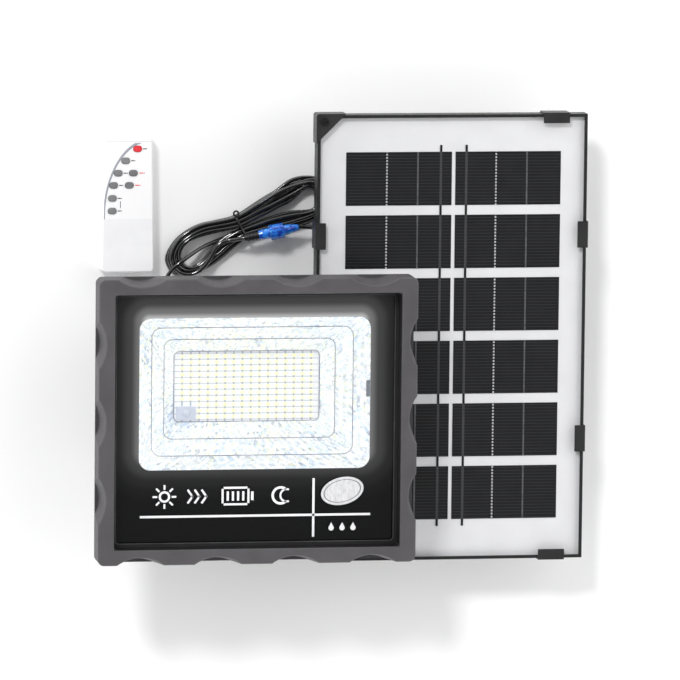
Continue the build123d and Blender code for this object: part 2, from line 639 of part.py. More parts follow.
def panel_screws():
    """The four screws of the crossbar and the smaller one in the corner cap."""
    screws = [gusset_screw()]
    for x, y in crossbar_screw_places():
        screw = post(x, y, SCREW_RADIUS, PANEL_BOTTOM_Z - 2, PANEL_BOTTOM_Z + 4)
        screw += post(x, y, 3.4, PANEL_BOTTOM_Z - 4, PANEL_BOTTOM_Z - 2)
        screws.append(screw)
    return Compound(children=screws)


def drilled_side_rail(side):
    rail = side_rail(side)
    for x, y in crossbar_screw_places():
        rail -= post(x, y, SCREW_RADIUS, PANEL_BOTTOM_Z, PANEL_BOTTOM_Z + 1.4)
    return rail


def junction_box():
    low, high = 29.5, SHELF_Z
    box = slab(PANEL_X, BOX_Y, 62, 44, 4, low, high)
    box -= slab(PANEL_X, BOX_Y, 58, 40, 3, low, high - 2)
    return box - Pos(PANEL_X, BOX_Y - 21, 36) * Rot(90, 0, 0) * Cylinder(4.5, 4)


def junction_lid():
    lid = slab(PANEL_X, BOX_Y, 62, 44, 4, 28.0, 29.5)
    return lid + slab(PANEL_X, BOX_Y, 57.6, 39.6, 2.8, 29.5, 31.0)


def junction_gland():
    """The gland on the junction box's lower side, with the panel's lead in its bore."""
    plane = Plane(origin=(PANEL_X, BOX_Y - 19, 36), z_dir=(0, -1, 0))
    body = extrude(plane * Circle(4.5), 3)
    body += extrude(plane.offset(3) * RegularPolygon(7, 6), 5)
    body += loft([plane.offset(8) * Circle(5.6), plane.offset(18.5) * Circle(3.4)])
    return body - extrude(plane * Circle(CORD_DIAMETER / 2), 19)


# ---- Leads, hank and connector ------------------------------------------------------
def hank_point(station, across):
    """A place in plan by its station along the hank from the tie and its reach to one side."""
    angle = math.radians(HANK_RIGHT_ANGLE if station > 0 else HANK_LEFT_ANGLE)
    if station == 0:
        angle = math.radians((HANK_RIGHT_ANGLE + HANK_LEFT_ANGLE) / 2)
    x = HANK_TIE_X + station * math.cos(angle) - across * math.sin(angle)
    y = HANK_TIE_Y + station * math.sin(angle) + across * math.cos(angle)
    return x, y


def cable_hank():
    """The outer shape of the nine tied turns, narrow at the tie and fanned at both ends."""
    outline = [hank_point(HANK_LEFT_TIP, 0)]
    outline += [hank_point(station, upper) for station, upper, lower in HANK_SIDES]
    outline += [hank_point(HANK_RIGHT_TIP, 3)]
    outline += [hank_point(station, -lower) for station, upper, lower in reversed(HANK_SIDES)]
    return extrude(make_face(Spline(*outline, periodic=True)), HANK_HEIGHT)


def hank_tie():
    """The wire tie round the hank's waist and the lead that leaves over it."""
    angle = math.radians((HANK_RIGHT_ANGLE + HANK_LEFT_ANGLE) / 2)
    along = Vector(math.cos(angle), math.sin(angle), 0)
    across = Vector(-math.sin(angle), math.cos(angle), 0)
    middle_z = (HANK_HEIGHT + CORD_DIAMETER + 1.0) / 2
    plane = Plane(origin=Vector(HANK_TIE_X, HANK_TIE_Y, middle_z) - along * 1.1,
                  x_dir=across, z_dir=along)
    band = plane * RectangleRounded(22.0, 2 * middle_z, 4.0)
    band -= plane * RectangleRounded(20.2, 2 * middle_z - 1.8, 3.1)
    return extrude(band, 2.2)


def plug_boot():
    """The ribbed sleeve behind the plug."""
    boot = plug_part(0, BOOT_LENGTH, 2.3, 3.0)
    for rib in range(3):
        start = 3.0 + rib * 2.8
        boot += plug_part(start, start + 1.4, 3.2)
    return boot - plug_part(0, 2.9, CORD_DIAMETER / 2)


def plug_body():
    body = plug_part(BOOT_LENGTH, BOOT_LENGTH + 3, 3.4, PLUG_RADIUS)
    return body + plug_part(BOOT_LENGTH + 3, BOOT_LENGTH + PLUG_LENGTH, PLUG_RADIUS)


def socket_body():
    start = BOOT_LENGTH + PLUG_LENGTH + 0.1
    end = BOOT_LENGTH + PLUG_LENGTH + SOCKET_LENGTH
    body = plug_part(start, start + 8, PLUG_RADIUS)
    body += plug_part(start + 8, end, PLUG_RADIUS, 2.4)
    return body - plug_part(end - 3, end, CORD_DIAMETER / 2)


def coupling_nut():
    """The knurled ring that locks the plug to the socket. It turns freely."""
    nut = plug_part(NUT_FROM, NUT_FROM + NUT_LENGTH, NUT_RADIUS)
    plane = Plane(origin=PLUG_START + PLUG_DIRECTION * NUT_FROM, z_dir=PLUG_DIRECTION)
    for groove in range(12):
        angle = math.radians(groove * 30)
        place = Pos(NUT_RADIUS * math.cos(angle), NUT_RADIUS * math.sin(angle))
        nut -= extrude(plane * place * Circle(0.6), NUT_LENGTH)
    return nut - plug_part(NUT_FROM, NUT_FROM + NUT_LENGTH, PLUG_RADIUS + FACE_GAP)


# ---- Remote -------------------------------------------------------------------------
def remote_outline(inset):
    """The remote's plan, slightly wider at its lower end."""
    half_length = REMOTE_LENGTH / 2 - inset
    top = REMOTE_TOP_WIDTH / 2 - inset
    bottom = REMOTE_BOTTOM_WIDTH / 2 - inset
    sides = Polyline((-bottom, -half_length), (bottom, -half_length), (top, half_length),
                     (-top, half_length), close=True)
    face = make_face(sides)
    return fillet(face.vertices(), max(REMOTE_CORNER - inset, 0.8))


def remote_slice(inset, low, high):
    return extrude(Pos(REMOTE_X, REMOTE_Y, low) * remote_outline(inset), high - low)


def button_oval(growth, low, high):
    """An oval key's outline, centred on the origin."""
    face = SlotOverall(BUTTON_LENGTH + 2 * growth, BUTTON_DEPTH + 2 * growth)
    return extrude(Pos(0, 0, low) * face, high - low)


def remote_top_shell():
    shell = remote_slice(0, REMOTE_SPLIT_Z, REMOTE_THICKNESS)
    shell = fillet(shell.faces().sort_by(Axis.Z)[-1].edges(), 1.2)
    shell -= remote_slice(REMOTE_WALL, REMOTE_SPLIT_Z, REMOTE_THICKNESS - REMOTE_WALL)
    for x, y in BUTTONS.values():
        hole = button_oval(0.3, REMOTE_THICKNESS - REMOTE_WALL - 1, REMOTE_THICKNESS + 1)
        shell -= Pos(REMOTE_X + x, REMOTE_Y + y, 0) * hole
    return shell


def door_span():
    low = REMOTE_Y - REMOTE_LENGTH / 2
    return low + 0.2, low + DOOR_LENGTH


def remote_base_shell():
    shell = remote_slice(0, 0, REMOTE_SPLIT_Z)
    shell = fillet(shell.faces().sort_by(Axis.Z)[0].edges(), 1.2)
    shell -= remote_slice(REMOTE_WALL, REMOTE_WALL, REMOTE_SPLIT_Z)
    low, high = door_span()
    half = DOOR_WIDTH / 2 + 0.3
    shell -= block((REMOTE_X - half, REMOTE_X + half), (low - 5, high + 0.3), (0, REMOTE_WALL))
    return shell


def remote_battery_door():
    low, high = door_span()
    half = DOOR_WIDTH / 2
    door = block((REMOTE_X - half, REMOTE_X + half), (low, high), (0, DOOR_THICKNESS))
    for ridge in range(5):
        y = low + 5 + ridge * 1.8
        door -= block((REMOTE_X - 6, REMOTE_X + 6), (y, y + 0.8), (0, 0.4))
    return door


def remote_circuit_board():
    board = block((REMOTE_X - 15, REMOTE_X + 15), (REMOTE_Y - 5, REMOTE_Y + 50), (8.4, 9.6))
    board += Pos(REMOTE_X, REMOTE_Y + 50.8, 10.8) * Rot(90, 0, 0) * Cylinder(1.5, 1.6)
    board += block((REMOTE_X - 4, REMOTE_X + 4), (REMOTE_Y + 8, REMOTE_Y + 16), (7.0, 8.4))
    return board


def remote_cells():
    low = REMOTE_Y - REMOTE_LENGTH / 2 + REMOTE_WALL + 0.6
    cells = []
    for side in (-1, 1):
        x = REMOTE_X + side * (AAA_RADIUS + 0.3)
        cell = Pos(x, low + AAA_LENGTH / 2, 7.2) * Rot(90, 0, 0) * Cylinder(AAA_RADIUS, AAA_LENGTH)
        cells.append(cell)
    return Compound(children=cells)


def remote_button(place):
    low = REMOTE_THICKNESS - REMOTE_WALL - BUTTON_FLANGE - 0.1
    key = button_oval(0, low, REMOTE_THICKNESS + BUTTON_RISE)
    key = fillet(key.faces().sort_by(Axis.Z)[-1].edges(), 0.5)
    key += button_oval(BUTTON_FLANGE_REACH, low, low + BUTTON_FLANGE)
    return Pos(REMOTE_X + place[0], REMOTE_Y + place[1], 0) * key


# ---- All pieces ---------------------------------------------------------------------
glass_low = SHELF_Z + BACKSHEET_THICKNESS + CELL_THICKNESS + RIBBON_THICKNESS + 0.05
glass_high = PANEL_TOP_Z - RAIL_LIP_THICKNESS - 0.05

pieces = {
    "lamp_bezel": lamp_bezel(),
    "bezel_screws": bezel_screws(),
    "lamp_glass": lamp_glass(),
    "glass_gasket": glass_gasket(),
    "reflector": reflector(),
    "led_board": led_board(),
    "led_chips": led_chips(),
    "ir_receiver": ir_receiver(),
    "lamp_housing": lamp_housing(),
    "battery_cells": battery_cells(),
    "battery_holder": battery_holder(),
    "controller_board": controller_board(),
    "lamp_gland": lamp_gland(),
    "lamp_gland_nut": lamp_gland_nut(),
    "breather_vent": breather_vent(),
    "lamp_bracket": u_bracket(
        LAMP_X, LAMP_Y, LAMP_PIVOT_Z, LAMP_LEG_INNER, LAMP_STRAP_THICKNESS, LAMP_STRAP_HALF,
        LAMP_HOLE_SPACING, LAMP_HOLE_RADIUS, LAMP_BOLT_RADIUS + PIVOT_CLEARANCE),
    "lamp_bracket_bolts": pivot_bolts(
        LAMP_X, LAMP_Y, LAMP_PIVOT_Z, LAMP_LEG_INNER, LAMP_STRAP_THICKNESS, 6.7,
        LAMP_BOLT_RADIUS, 5),
    "lamp_bracket_nuts": pivot_nuts(
        LAMP_X, LAMP_Y, LAMP_PIVOT_Z, LAMP_LEG_INNER, 6.7, LAMP_BOLT_RADIUS),
    "panel_rail_left": drilled_side_rail(-1),
    "panel_rail_right": drilled_side_rail(1),
    "panel_rail_top": end_rail(1),
    "panel_rail_bottom": end_rail(-1),
    "panel_backsheet": laminate(SHELF_Z, SHELF_Z + BACKSHEET_THICKNESS),
    "solar_cells": solar_cells(),
    "cell_busbars": cell_busbars(),
    "string_ribbons": string_ribbons(),
    "panel_glass": laminate(glass_low, glass_high),
    "edge_clips": edge_clips(),
    "corner_gusset": corner_gusset(),
    "panel_crossbar": panel_crossbar(),
    "panel_screws": panel_screws(),
    "panel_bracket": u_bracket(
        PANEL_X, PANEL_Y, PANEL_PIVOT_Z, PANEL_LEG_INNER, PANEL_STRAP_THICKNESS,
        PANEL_STRAP_HALF, PANEL_HOLE_SPACING, PANEL_HOLE_RADIUS,
        PANEL_BOLT_RADIUS + PIVOT_CLEARANCE),
    "panel_bracket_bolts": pivot_bolts(
        PANEL_X, PANEL_Y, PANEL_PIVOT_Z, PANEL_LEG_INNER, PANEL_STRAP_THICKNESS, 4,
        PANEL_BOLT_RADIUS, 4),
    "panel_bracket_nuts": pivot_nuts(
        PANEL_X, PANEL_Y, PANEL_PIVOT_Z, PANEL_LEG_INNER, 4, PANEL_BOLT_RADIUS),
    "junction_box": junction_box(),
    "junction_lid": junction_lid(),
    "junction_gland": junction_gland(),
    "lamp_lead": cord_tube("lamp_lead", LAMP_LEAD_ROUTE),
    "cable_hank": cable_hank(),
    "hank_tie": hank_tie(),
    "plug_tail": cord_tube("plug_tail", PLUG_TAIL_ROUTE),
    "plug_boot": plug_boot(),
    "plug_body": plug_body(),
    "socket_body": socket_body(),
    "coupling_nut": coupling_nut(),
    "panel_lead": cord_tube("panel_lead", PANEL_LEAD_ROUTE),
    "remote_top_shell": remote_top_shell(),
    "remote_base_shell": remote_base_shell(),
    "remote_battery_door": remote_battery_door(),
    "remote_circuit_board": remote_circuit_board(),
    "remote_cells": remote_cells(),
}
for button_name, button_place in BUTTONS.items():
    pieces[f"button_{button_name}"] = remote_button(button_place)

os.makedirs("parts", exist_ok=True)
for node, piece in pieces.items():
    export_step(piece, f"parts/{node}.step")
print(len(pieces), "pieces")
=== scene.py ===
import json
import math
import random

import bpy
from mathutils import Matrix, Vector


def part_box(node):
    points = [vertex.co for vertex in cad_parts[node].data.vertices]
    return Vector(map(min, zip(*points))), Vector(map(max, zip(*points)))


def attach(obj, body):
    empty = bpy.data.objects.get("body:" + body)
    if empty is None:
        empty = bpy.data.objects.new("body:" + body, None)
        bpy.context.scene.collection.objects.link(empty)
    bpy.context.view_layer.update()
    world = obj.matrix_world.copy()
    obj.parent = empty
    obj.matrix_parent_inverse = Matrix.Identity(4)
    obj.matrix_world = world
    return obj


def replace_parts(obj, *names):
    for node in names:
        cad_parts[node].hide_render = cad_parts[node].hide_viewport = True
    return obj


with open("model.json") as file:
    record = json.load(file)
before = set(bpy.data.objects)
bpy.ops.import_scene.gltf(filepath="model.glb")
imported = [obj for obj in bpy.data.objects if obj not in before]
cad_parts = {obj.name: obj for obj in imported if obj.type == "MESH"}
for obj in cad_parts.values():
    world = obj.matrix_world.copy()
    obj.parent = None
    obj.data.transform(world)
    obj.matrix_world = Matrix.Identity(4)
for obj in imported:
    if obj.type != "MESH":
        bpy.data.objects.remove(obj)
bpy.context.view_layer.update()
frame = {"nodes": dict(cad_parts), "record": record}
nodes = frame["nodes"]
MM = 0.001

# Sizes in millimetres, in the part's own frame
LAMP_X, LAMP_Y = -73.0, -53.4
LAMP_BODY = "lamp_and_panel"
REFLECTOR_Y = -34.1
REFLECTOR_STEPS = ((178.8, 117.0, 9.0, 105.0), (155.6, 98.4, 7.0, 92.0),
                   (132.4, 76.4, 6.0, 77.0), (113.0, 54.0, 4.0, 62.0))
GLASS_TOP_Z = 109.0
GLASS_WIDTH, GLASS_HEIGHT = 216.2, 191.2
CHIP_COLUMNS, CHIP_ROWS = 16, 11
CHIP_PITCH_X, CHIP_PITCH_Y = 6.7, 4.7
REMOTE_X, REMOTE_Y = -160.0, 103.5
REMOTE_TOP_Z = 16.0
CORD_DIAMETER = 3.2


# ---- Camera -------------------------------------------------------------------------
def place_camera():
    back = Vector((-0.165, 0.13, 1.0)).normalized()
    up = (Vector((0, 1, 0)) - back * back.y).normalized()
    right = up.cross(back)
    roll = math.radians(0.6)
    up = up * math.cos(roll) - right * math.sin(roll)
    right = up.cross(back)
    data = bpy.data.cameras.new("camera")
    data.lens = 400.0
    data.sensor_width = 36.0
    data.clip_end = 30.0
    camera = bpy.data.objects.new("camera", data)
    bpy.context.scene.collection.objects.link(camera)
    matrix = Matrix((right, up, back)).transposed().to_4x4()
    matrix.translation = Vector((0.0018, -0.0008, 0.049)) + back * 5.85
    camera.matrix_world = matrix
    bpy.context.scene.camera = camera


place_camera()

# ---- Cords --------------------------------------------------------------------------
HANK_TIE_X, HANK_TIE_Y = -70.1, 82.5
HANK_LEFT_ANGLE, HANK_RIGHT_ANGLE = 28.8, 19.3
STATIONS = (-56.5, -45, -29, -15, 0, 17, 28, 39, 49, 58, 68)
UPPER_REACH = (12.0, 17.1, 17.7, 13.0, 8.3, 13.1, 16.6, 19.9, 21.2, 20.4, 16.8)
LOWER_REACH = (11.8, 14.6, 14.6, 11.4, 8.3, 10.6, 13.2, 15.2, 15.2, 13.7, 9.7)
UPPER_PITCH = (0.9, 2.4, 3.4, 3.4, 3.2, 4.4, 5.8, 6.4, 6.0, 4.4, 1.6)
LOWER_PITCH = (0.9, 2.4, 4.6, 4.8, 3.2, 4.0, 5.2, 5.8, 5.2, 3.4, 1.2)
WAIST = STATIONS.index(0)
LEFT_TIP, LEFT_TIP_REACH = -63.4, 5.4
RIGHT_TIP, RIGHT_TIP_REACH = 76.6, 6.6
TIE_LIFT = 1.3
TIE_WIRE_DIAMETER = 1.5
# Height of each layer, and how much shorter its left and right loops are
LAYERS = ((1.6, 0.0, 0.0), (4.8, 1.4, 2.4), (8.0, 3.0, 1.2))
# How far each layer lies inward of the one under it, where the loops are widest
LAYER_SHIFT = (0.0, 2.4, 0.6)
SHIFT_SHARE = (0.0, 0.2, 0.8, 0.5, 0.0, 0.5, 0.9, 1.0, 1.0, 0.7, 0.0)
# Layer and ring of each turn, in the order in which the lead is wound
TURNS = ((0, 2), (0, 1), (0, 0), (1, 0), (1, 1), (1, 2), (2, 2), (2, 1), (2, 0))
LAMP_LEAD_ROUTE = ((-131.0, 7.5, 42.0), (-131.0, 7.9, 28.0), (-131.4, 12.5, 13.5),
                   (-131.6, 23.5, 3.6), (-130.9, 34.0, 4.6), (-129.0, 43.5, 8.6))
PLUG_TAIL_ROUTE = ((-80.0, 73.3, 11.4), (-76.5, 73.9, 12.9), (-72.4, 74.7, 14.9),
                   (-67.5, 75.7, 16.1))
PANEL_LEAD_ROUTE = ((88.8, 75.5, 36.0), (88.8, 63.5, 35.4), (87.0, 50.5, 28.5),
                    (80.5, 40.5, 17.0), (68.5, 36.0, 7.0), (54.5, 38.5, 2.6),
                    (40.5, 46.5, 2.2), (27.0, 57.5, 2.4), (12.5, 69.0, 4.4),
                    (-1.0, 78.5, 9.6), (-13.5, 83.5, 14.0), (-25.9, 83.7, 16.1))
# Station, reach and height: first where the lead climbs over the left loop's end and dips
# through the loop, then where its other end goes back over the turns to the plug
LEAD_IN = ((-62.9, -1.3, 11.2), (-54.5, 0.2, 11.7), (-47.0, 0.9, 9.9), (-39.0, 1.3, 6.8),
           (-31.0, 1.0, 4.0), (-22.0, -0.4, 2.2))
LEAD_OUT = ((-54.0, -12.2, 9.6), (-44.5, -13.6, 10.8), (-35.0, -10.0, 11.3), (-27.5, -4.6, 11.3),
            (-20.5, -1.6, 11.3))


def hank_point(station, across, z):
    """A place in the row frame by its station along the hank and its reach to one side."""
    angle = math.radians(HANK_RIGHT_ANGLE if station > 0 else HANK_LEFT_ANGLE)
    if station == 0:
        angle = math.radians((HANK_RIGHT_ANGLE + HANK_LEFT_ANGLE) / 2)
    x = HANK_TIE_X + station * math.cos(angle) - across * math.sin(angle)
    y = HANK_TIE_Y + station * math.sin(angle) + across * math.cos(angle)
    return (x, y, z)


def turn_places():
    """One turn's places in order: upper side to the left, left end, lower side, right end,
    upper side back to the tie."""
    last = len(STATIONS) - 1
    places = [("upper", k) for k in range(WAIST, -1, -1)]
    places += [("left", 1), ("left", -1)]
    places += [("lower", k) for k in range(last + 1)]
    places += [("right", -1), ("right", 1)]
    places += [("upper", k) for k in range(last, WAIST, -1)]
    return places


def strand_place(place, layer, ring, height, wander):
    kind, k = place
    shorter_left = (3.3 * ring + LAYERS[layer][1]) / 63.0
    shorter_right = (4.2 * ring + LAYERS[layer][2]) / 77.5
    if kind == "left":
        return hank_point(LEFT_TIP * (1 - shorter_left), k * (LEFT_TIP_REACH - 0.4 * ring), height)
    if kind == "right":
        reach = 3.2 + k * (RIGHT_TIP_REACH - 0.7 * ring)
        return hank_point(RIGHT_TIP * (1 - shorter_right), reach, height)
    station = STATIONS[k] * (1 - (shorter_right if STATIONS[k] > 0 else shorter_left))
    if k == WAIST:
        height += TIE_LIFT
        wander = 0.0
    inward = LAYER_SHIFT[layer] * SHIFT_SHARE[k]
    if kind == "upper":
        return hank_point(station, UPPER_REACH[k] - ring * UPPER_PITCH[k] - inward + wander, height)
    return hank_point(station, -LOWER_REACH[k] + ring * LOWER_PITCH[k] + inward + wander, height)


def hank_route():
    """The whole lamp lead: gland, floor, over the loop's end, the wound turns and the plug."""
    draw = random.Random(7)
    places = turn_places()
    back_to_tie = len(STATIONS) - 1 - WAIST
    route = [tuple(point) for point in LAMP_LEAD_ROUTE]
    route += [hank_point(*point) for point in LEAD_IN]
    for number, (layer, ring) in enumerate(TURNS):
        first, last = number == 0, number == len(TURNS) - 1
        begin = places.index(("lower", 3)) if first else 0
        end = places.index(("left", -1)) + 1 if last else len(places)
        next_layer, next_ring = (layer, ring) if last else TURNS[number + 1]
        wave, phase = draw.uniform(0.15, 0.5), draw.uniform(0, 2 * math.pi)
        for at in range(begin, end):
            share = max(0, at - (len(places) - back_to_tie) + 1) / (back_to_tie + 1)
            height = LAYERS[layer][0] * (1 - share) + LAYERS[next_layer][0] * share
            ring_now = ring * (1 - share) + next_ring * share
            wander = wave * math.sin(phase + at * 0.8)
            layer_now = next_layer if share > 0.5 else layer
            route.append(strand_place(places[at], layer_now, ring_now, height, wander))
    route += [hank_point(*point) for point in LEAD_OUT]
    return route + [tuple(point) for point in PLUG_TAIL_ROUTE]


def soft_curve(name, route, diameter, cyclic=False, sides=3):
    """A round cord along a route in millimetres, one NURBS spline."""
    data = bpy.data.curves.new(name, "CURVE")
    data.dimensions = "3D"
    data.resolution_u = 4
    data.bevel_depth = diameter / 2 * MM
    data.bevel_resolution = sides
    data.use_fill_caps = not cyclic
    spline = data.splines.new("NURBS")
    spline.points.add(len(route) - 1)
    for point, place in zip(spline.points, route):
        point.co = (place[0] * MM, place[1] * MM, place[2] * MM, 1.0)
    spline.order_u = 3
    spline.use_cyclic_u = cyclic
    spline.use_endpoint_u = not cyclic
    cord = bpy.data.objects.new(name, data)
    bpy.context.scene.collection.objects.link(cord)
    return cord


lamp_route = hank_route()
lamp_cord = soft_curve("lamp_cord", lamp_route, CORD_DIAMETER)
panel_cord = soft_curve("panel_cord", PANEL_LEAD_ROUTE, CORD_DIAMETER)


# ---- Material helpers ---------------------------------------------------------------
def linear(red, green, blue):
    """A colour from 0 to 255 as the shader wants it."""
    def channel(value):
        value /= 255
        return value / 12.92 if value <= 0.04045 else ((value + 0.055) / 1.055) ** 2.4
    return (channel(red), channel(green), channel(blue), 1.0)


class Look:
    """A Principled material and short calls to build its nodes."""

    def __init__(self, name, colour, roughness, metallic=0.0, **sockets):
        self.material = bpy.data.materials.new(name)
        self.material.use_nodes = True
        self.tree = self.material.node_tree
        self.shader = self.tree.nodes["Principled BSDF"]
        self.shader.inputs["Base Color"].default_value = colour
        self.shader.inputs["Roughness"].default_value = roughness
        self.shader.inputs["Metallic"].default_value = metallic
        for socket, value in sockets.items():
            self.shader.inputs[socket.replace("_", " ")].default_value = value
        self.place = self.add("ShaderNodeTexCoord").outputs["Object"]
        self.bumps = None

    def add(self, kind, **settings):
        node = self.tree.nodes.new(kind)
        for key, value in settings.items():
            setattr(node, key, value)
        return node

    def put(self, socket, value):
        """Links a node's output or sets a plain value."""
        if isinstance(value, bpy.types.NodeSocket):
            self.tree.links.new(value, socket)
        else:
            socket.default_value = value

    def math(self, operation, first, second=0.0):
        node = self.add("ShaderNodeMath", operation=operation)
        self.put(node.inputs[0], first)
        self.put(node.inputs[1], second)
        return node.outputs[0]

    def vector(self, operation, first, second=(0, 0, 0)):
        node = self.add("ShaderNodeVectorMath", operation=operation)
        self.put(node.inputs[0], first)
        self.put(node.inputs[1], second)
        return node.outputs["Value" if operation == "LENGTH" else "Vector"]

    def axis(self, name, source=None):
        node = self.add("ShaderNodeSeparateXYZ")
        self.put(node.inputs[0], source or self.place)
        return node.outputs[name]

    def noise(self, scale, detail=3.0, stretch=(1, 1, 1)):
        node = self.add("ShaderNodeTexNoise")
        node.inputs["Scale"].default_value = scale
        node.inputs["Detail"].default_value = detail
        self.put(node.inputs["Vector"], self.vector("MULTIPLY", self.place, stretch))
        return node.outputs["Fac"]

    def ramp(self, value, low, high, out_low=0.0, out_high=1.0):
        node = self.add("ShaderNodeMapRange")
        self.put(node.inputs["Value"], value)
        for key, number in zip(("From Min", "From Max", "To Min", "To Max"),
                               (low, high, out_low, out_high)):
            node.inputs[key].default_value = number
        return node.outputs[0]

    def mix(self, share, first, second):
        node = self.add("ShaderNodeMix", data_type="RGBA")
        self.put(node.inputs[0], share)
        self.put(node.inputs[6], first)
        self.put(node.inputs[7], second)
        return node.outputs[2]

    def colour(self, value, socket="Base Color"):
        self.put(self.shader.inputs[socket], value)
        return self

    def rough(self, value):
        self.put(self.shader.inputs["Roughness"], value)
        return self

    def bump(self, height, strength, distance):
        """Adds a height, in millimetres of distance, to those already there."""
        node = self.add("ShaderNodeBump")
        node.inputs["Strength"].default_value = strength
        node.inputs["Distance"].default_value = distance * MM
        self.put(node.inputs["Height"], height)
        if self.bumps:
            self.tree.links.new(self.bumps, node.inputs["Normal"])
        self.bumps = node.outputs[0]
        self.put(self.shader.inputs["Normal"], self.bumps)
        return self

    def outside(self, centre, half):
        """How far, in metres, a place is outside a rectangle in plan."""
        shifted = self.vector("SUBTRACT", self.place, (centre[0] * MM, centre[1] * MM, 0))
        flat = self.vector("MULTIPLY", self.vector("ABSOLUTE", shifted), (1, 1, 0))
        beyond = self.vector("SUBTRACT", flat, (half[0] * MM, half[1] * MM, 0))
        return self.vector("LENGTH", self.vector("MAXIMUM", beyond))

    def stripes(self, value, pitch, share, offset=0.0):
        """1 in the first share of each pitch, in millimetres, 0 in the rest."""
        turned = self.math("ADD", value, -offset * MM + 10.0 * pitch * MM * 100)
        part = self.math("FRACT", self.math("DIVIDE", turned, pitch * MM))
        return self.math("LESS_THAN", part, share)


def powder(name, colour, colour_2, roughness=0.55, grain=1400):
    """Powder-coated metal: orange peel, fine grain and a faint change of tone."""
    look = Look(name, colour, roughness)
    look.colour(look.mix(look.ramp(look.noise(38, 4), 0.35, 0.65), colour, colour_2))
    look.rough(look.ramp(look.noise(grain, 2), 0.3, 0.7, roughness - 0.08, roughness + 0.1))
    look.bump(look.noise(grain, 2), 0.28, 0.25)
    return look.bump(look.noise(260, 2), 0.18, 0.4)


def plastic(name, colour, colour_2, roughness=0.42, grain=900, strength=0.12, **sockets):
    """Moulded plastic with a fine spark-eroded texture."""
    look = Look(name, colour, roughness, **sockets)
    look.colour(look.mix(look.ramp(look.noise(45, 3), 0.35, 0.65), colour, colour_2))
    look.rough(look.ramp(look.noise(grain, 2), 0.3, 0.7, roughness - 0.06, roughness + 0.08))
    return look.bump(look.noise(grain, 2), strength, 0.2)


def brushed(name, colour, colour_2, roughness=0.35, metallic=1.0, stretch=(1, 1, 1), scale=900):
    """Brushed or anodised metal, drawn out along one axis."""
    look = Look(name, colour, roughness, metallic)
    lines = look.noise(scale, 3, stretch)
    look.colour(look.mix(look.ramp(lines, 0.3, 0.7), colour, colour_2))
    look.rough(look.ramp(lines, 0.3, 0.7, roughness - 0.08, roughness + 0.1))
    return look.bump(lines, 0.1, 0.12)


def painted_shade_inside(look):
    """Painted shade: the bezel's inner wall is painted near-black down to the glass, for the shade in the
    recess.
    """
    beyond = look.outside((LAMP_X, LAMP_Y), (110.62, 98.12))
    shaded_wall = look.math("LESS_THAN", beyond, 0.00002)
    painted = look.shader.inputs["Base Color"].links[0].from_socket
    # Near-black painted shade on the inner wall, in place of the bezel's paint.
    return look.colour(look.mix(shaded_wall, painted, linear(6, 6, 7)))


def halo_glass():
    """Black printed glass with a painted grey glow round its clear window, in place of the lamp's light
    spilling into the glass.
    """
    look = Look("painted_glow_print", linear(11, 11, 12), 0.16, Coat_Weight=0.6)
    beyond = look.outside((LAMP_X, REFLECTOR_Y + 6.0), (82.0, 50.0))
    ramp = look.add("ShaderNodeValToRGB")
    ramp.color_ramp.interpolation = "EASE"
    stops = ((0.0, 225), (0.06, 192), (0.185, 118), (0.36, 64), (0.6, 30), (0.8, 12), (1.0, 0))
    ramp.color_ramp.elements[0].position = stops[0][0]
    ramp.color_ramp.elements[0].color = linear(stops[0][1], stops[0][1], stops[0][1])
    ramp.color_ramp.elements[1].position = stops[-1][0]
    ramp.color_ramp.elements[1].color = linear(0, 0, 0)
    for position, grey in stops[1:-1]:
        stop = ramp.color_ramp.elements.new(position)
        stop.color = linear(grey, grey, grey)
    look.put(ramp.inputs[0], look.ramp(beyond, 0.0, 0.040))
    # Painted glow: the emission fades outward from the window.
    look.colour(ramp.outputs[0], "Emission Color")
    look.shader.inputs["Emission Strength"].default_value = 1.0
    look.rough(look.ramp(look.noise(500, 2), 0.3, 0.7, 0.12, 0.2))
    return look.bump(look.noise(60, 2), 0.02, 0.2)


def cell_silicon():
    """Dark silicon with fine printed fingers across each cell."""
    look = Look("silicon", linear(13, 13, 16), 0.3, Coat_Weight=0.5)
    finger = look.stripes(look.axis("Y"), 2.45, 0.2)
    crystal = look.mix(look.ramp(look.noise(70, 3), 0.35, 0.65), linear(11, 11, 13), linear(19, 19, 24))
    look.colour(look.mix(finger, crystal, linear(54, 54, 56)))
    look.rough(look.ramp(finger, 0, 1, 0.28, 0.45))
    return look.bump(finger, 0.1, 0.03)


def busbar_silver():
    """Soldered points on the left busbar of each cell, plain grey on the right one."""
    look = Look("busbar", linear(150, 150, 152), 0.4, 0.5)
    side = look.math("FRACT", look.math("DIVIDE", look.math("SUBTRACT", look.axis("X"), 0.025), 0.0858))
    left = look.math("LESS_THAN", side, 0.3)
    dots = look.stripes(look.axis("Y"), 2.45, 0.58)
    dashed = look.mix(dots, linear(20, 20, 22), linear(228, 228, 230))
    plain = look.mix(look.ramp(look.noise(300, 2), 0.3, 0.7), linear(96, 96, 98), linear(122, 122, 124))
    look.colour(look.mix(left, plain, dashed))
    return look.bump(dots, 0.2, 0.05)


def ribbon_grey():
    """Dark interconnect, a little lighter where it runs over the cells."""
    look = Look("ribbon", linear(38, 38, 40), 0.38, 0.4)
    over = look.stripes(look.axis("Y"), 49.2, 41.6 / 49.2, 1.0 - 147.6 + 3.8)
    base = look.mix(over, linear(30, 30, 32), linear(84, 84, 86))
    look.colour(look.mix(look.ramp(look.noise(400, 2), 0.3, 0.7, 0, 0.3), base, linear(60, 60, 62)))
    return look.bump(look.noise(400, 2), 0.1, 0.05)


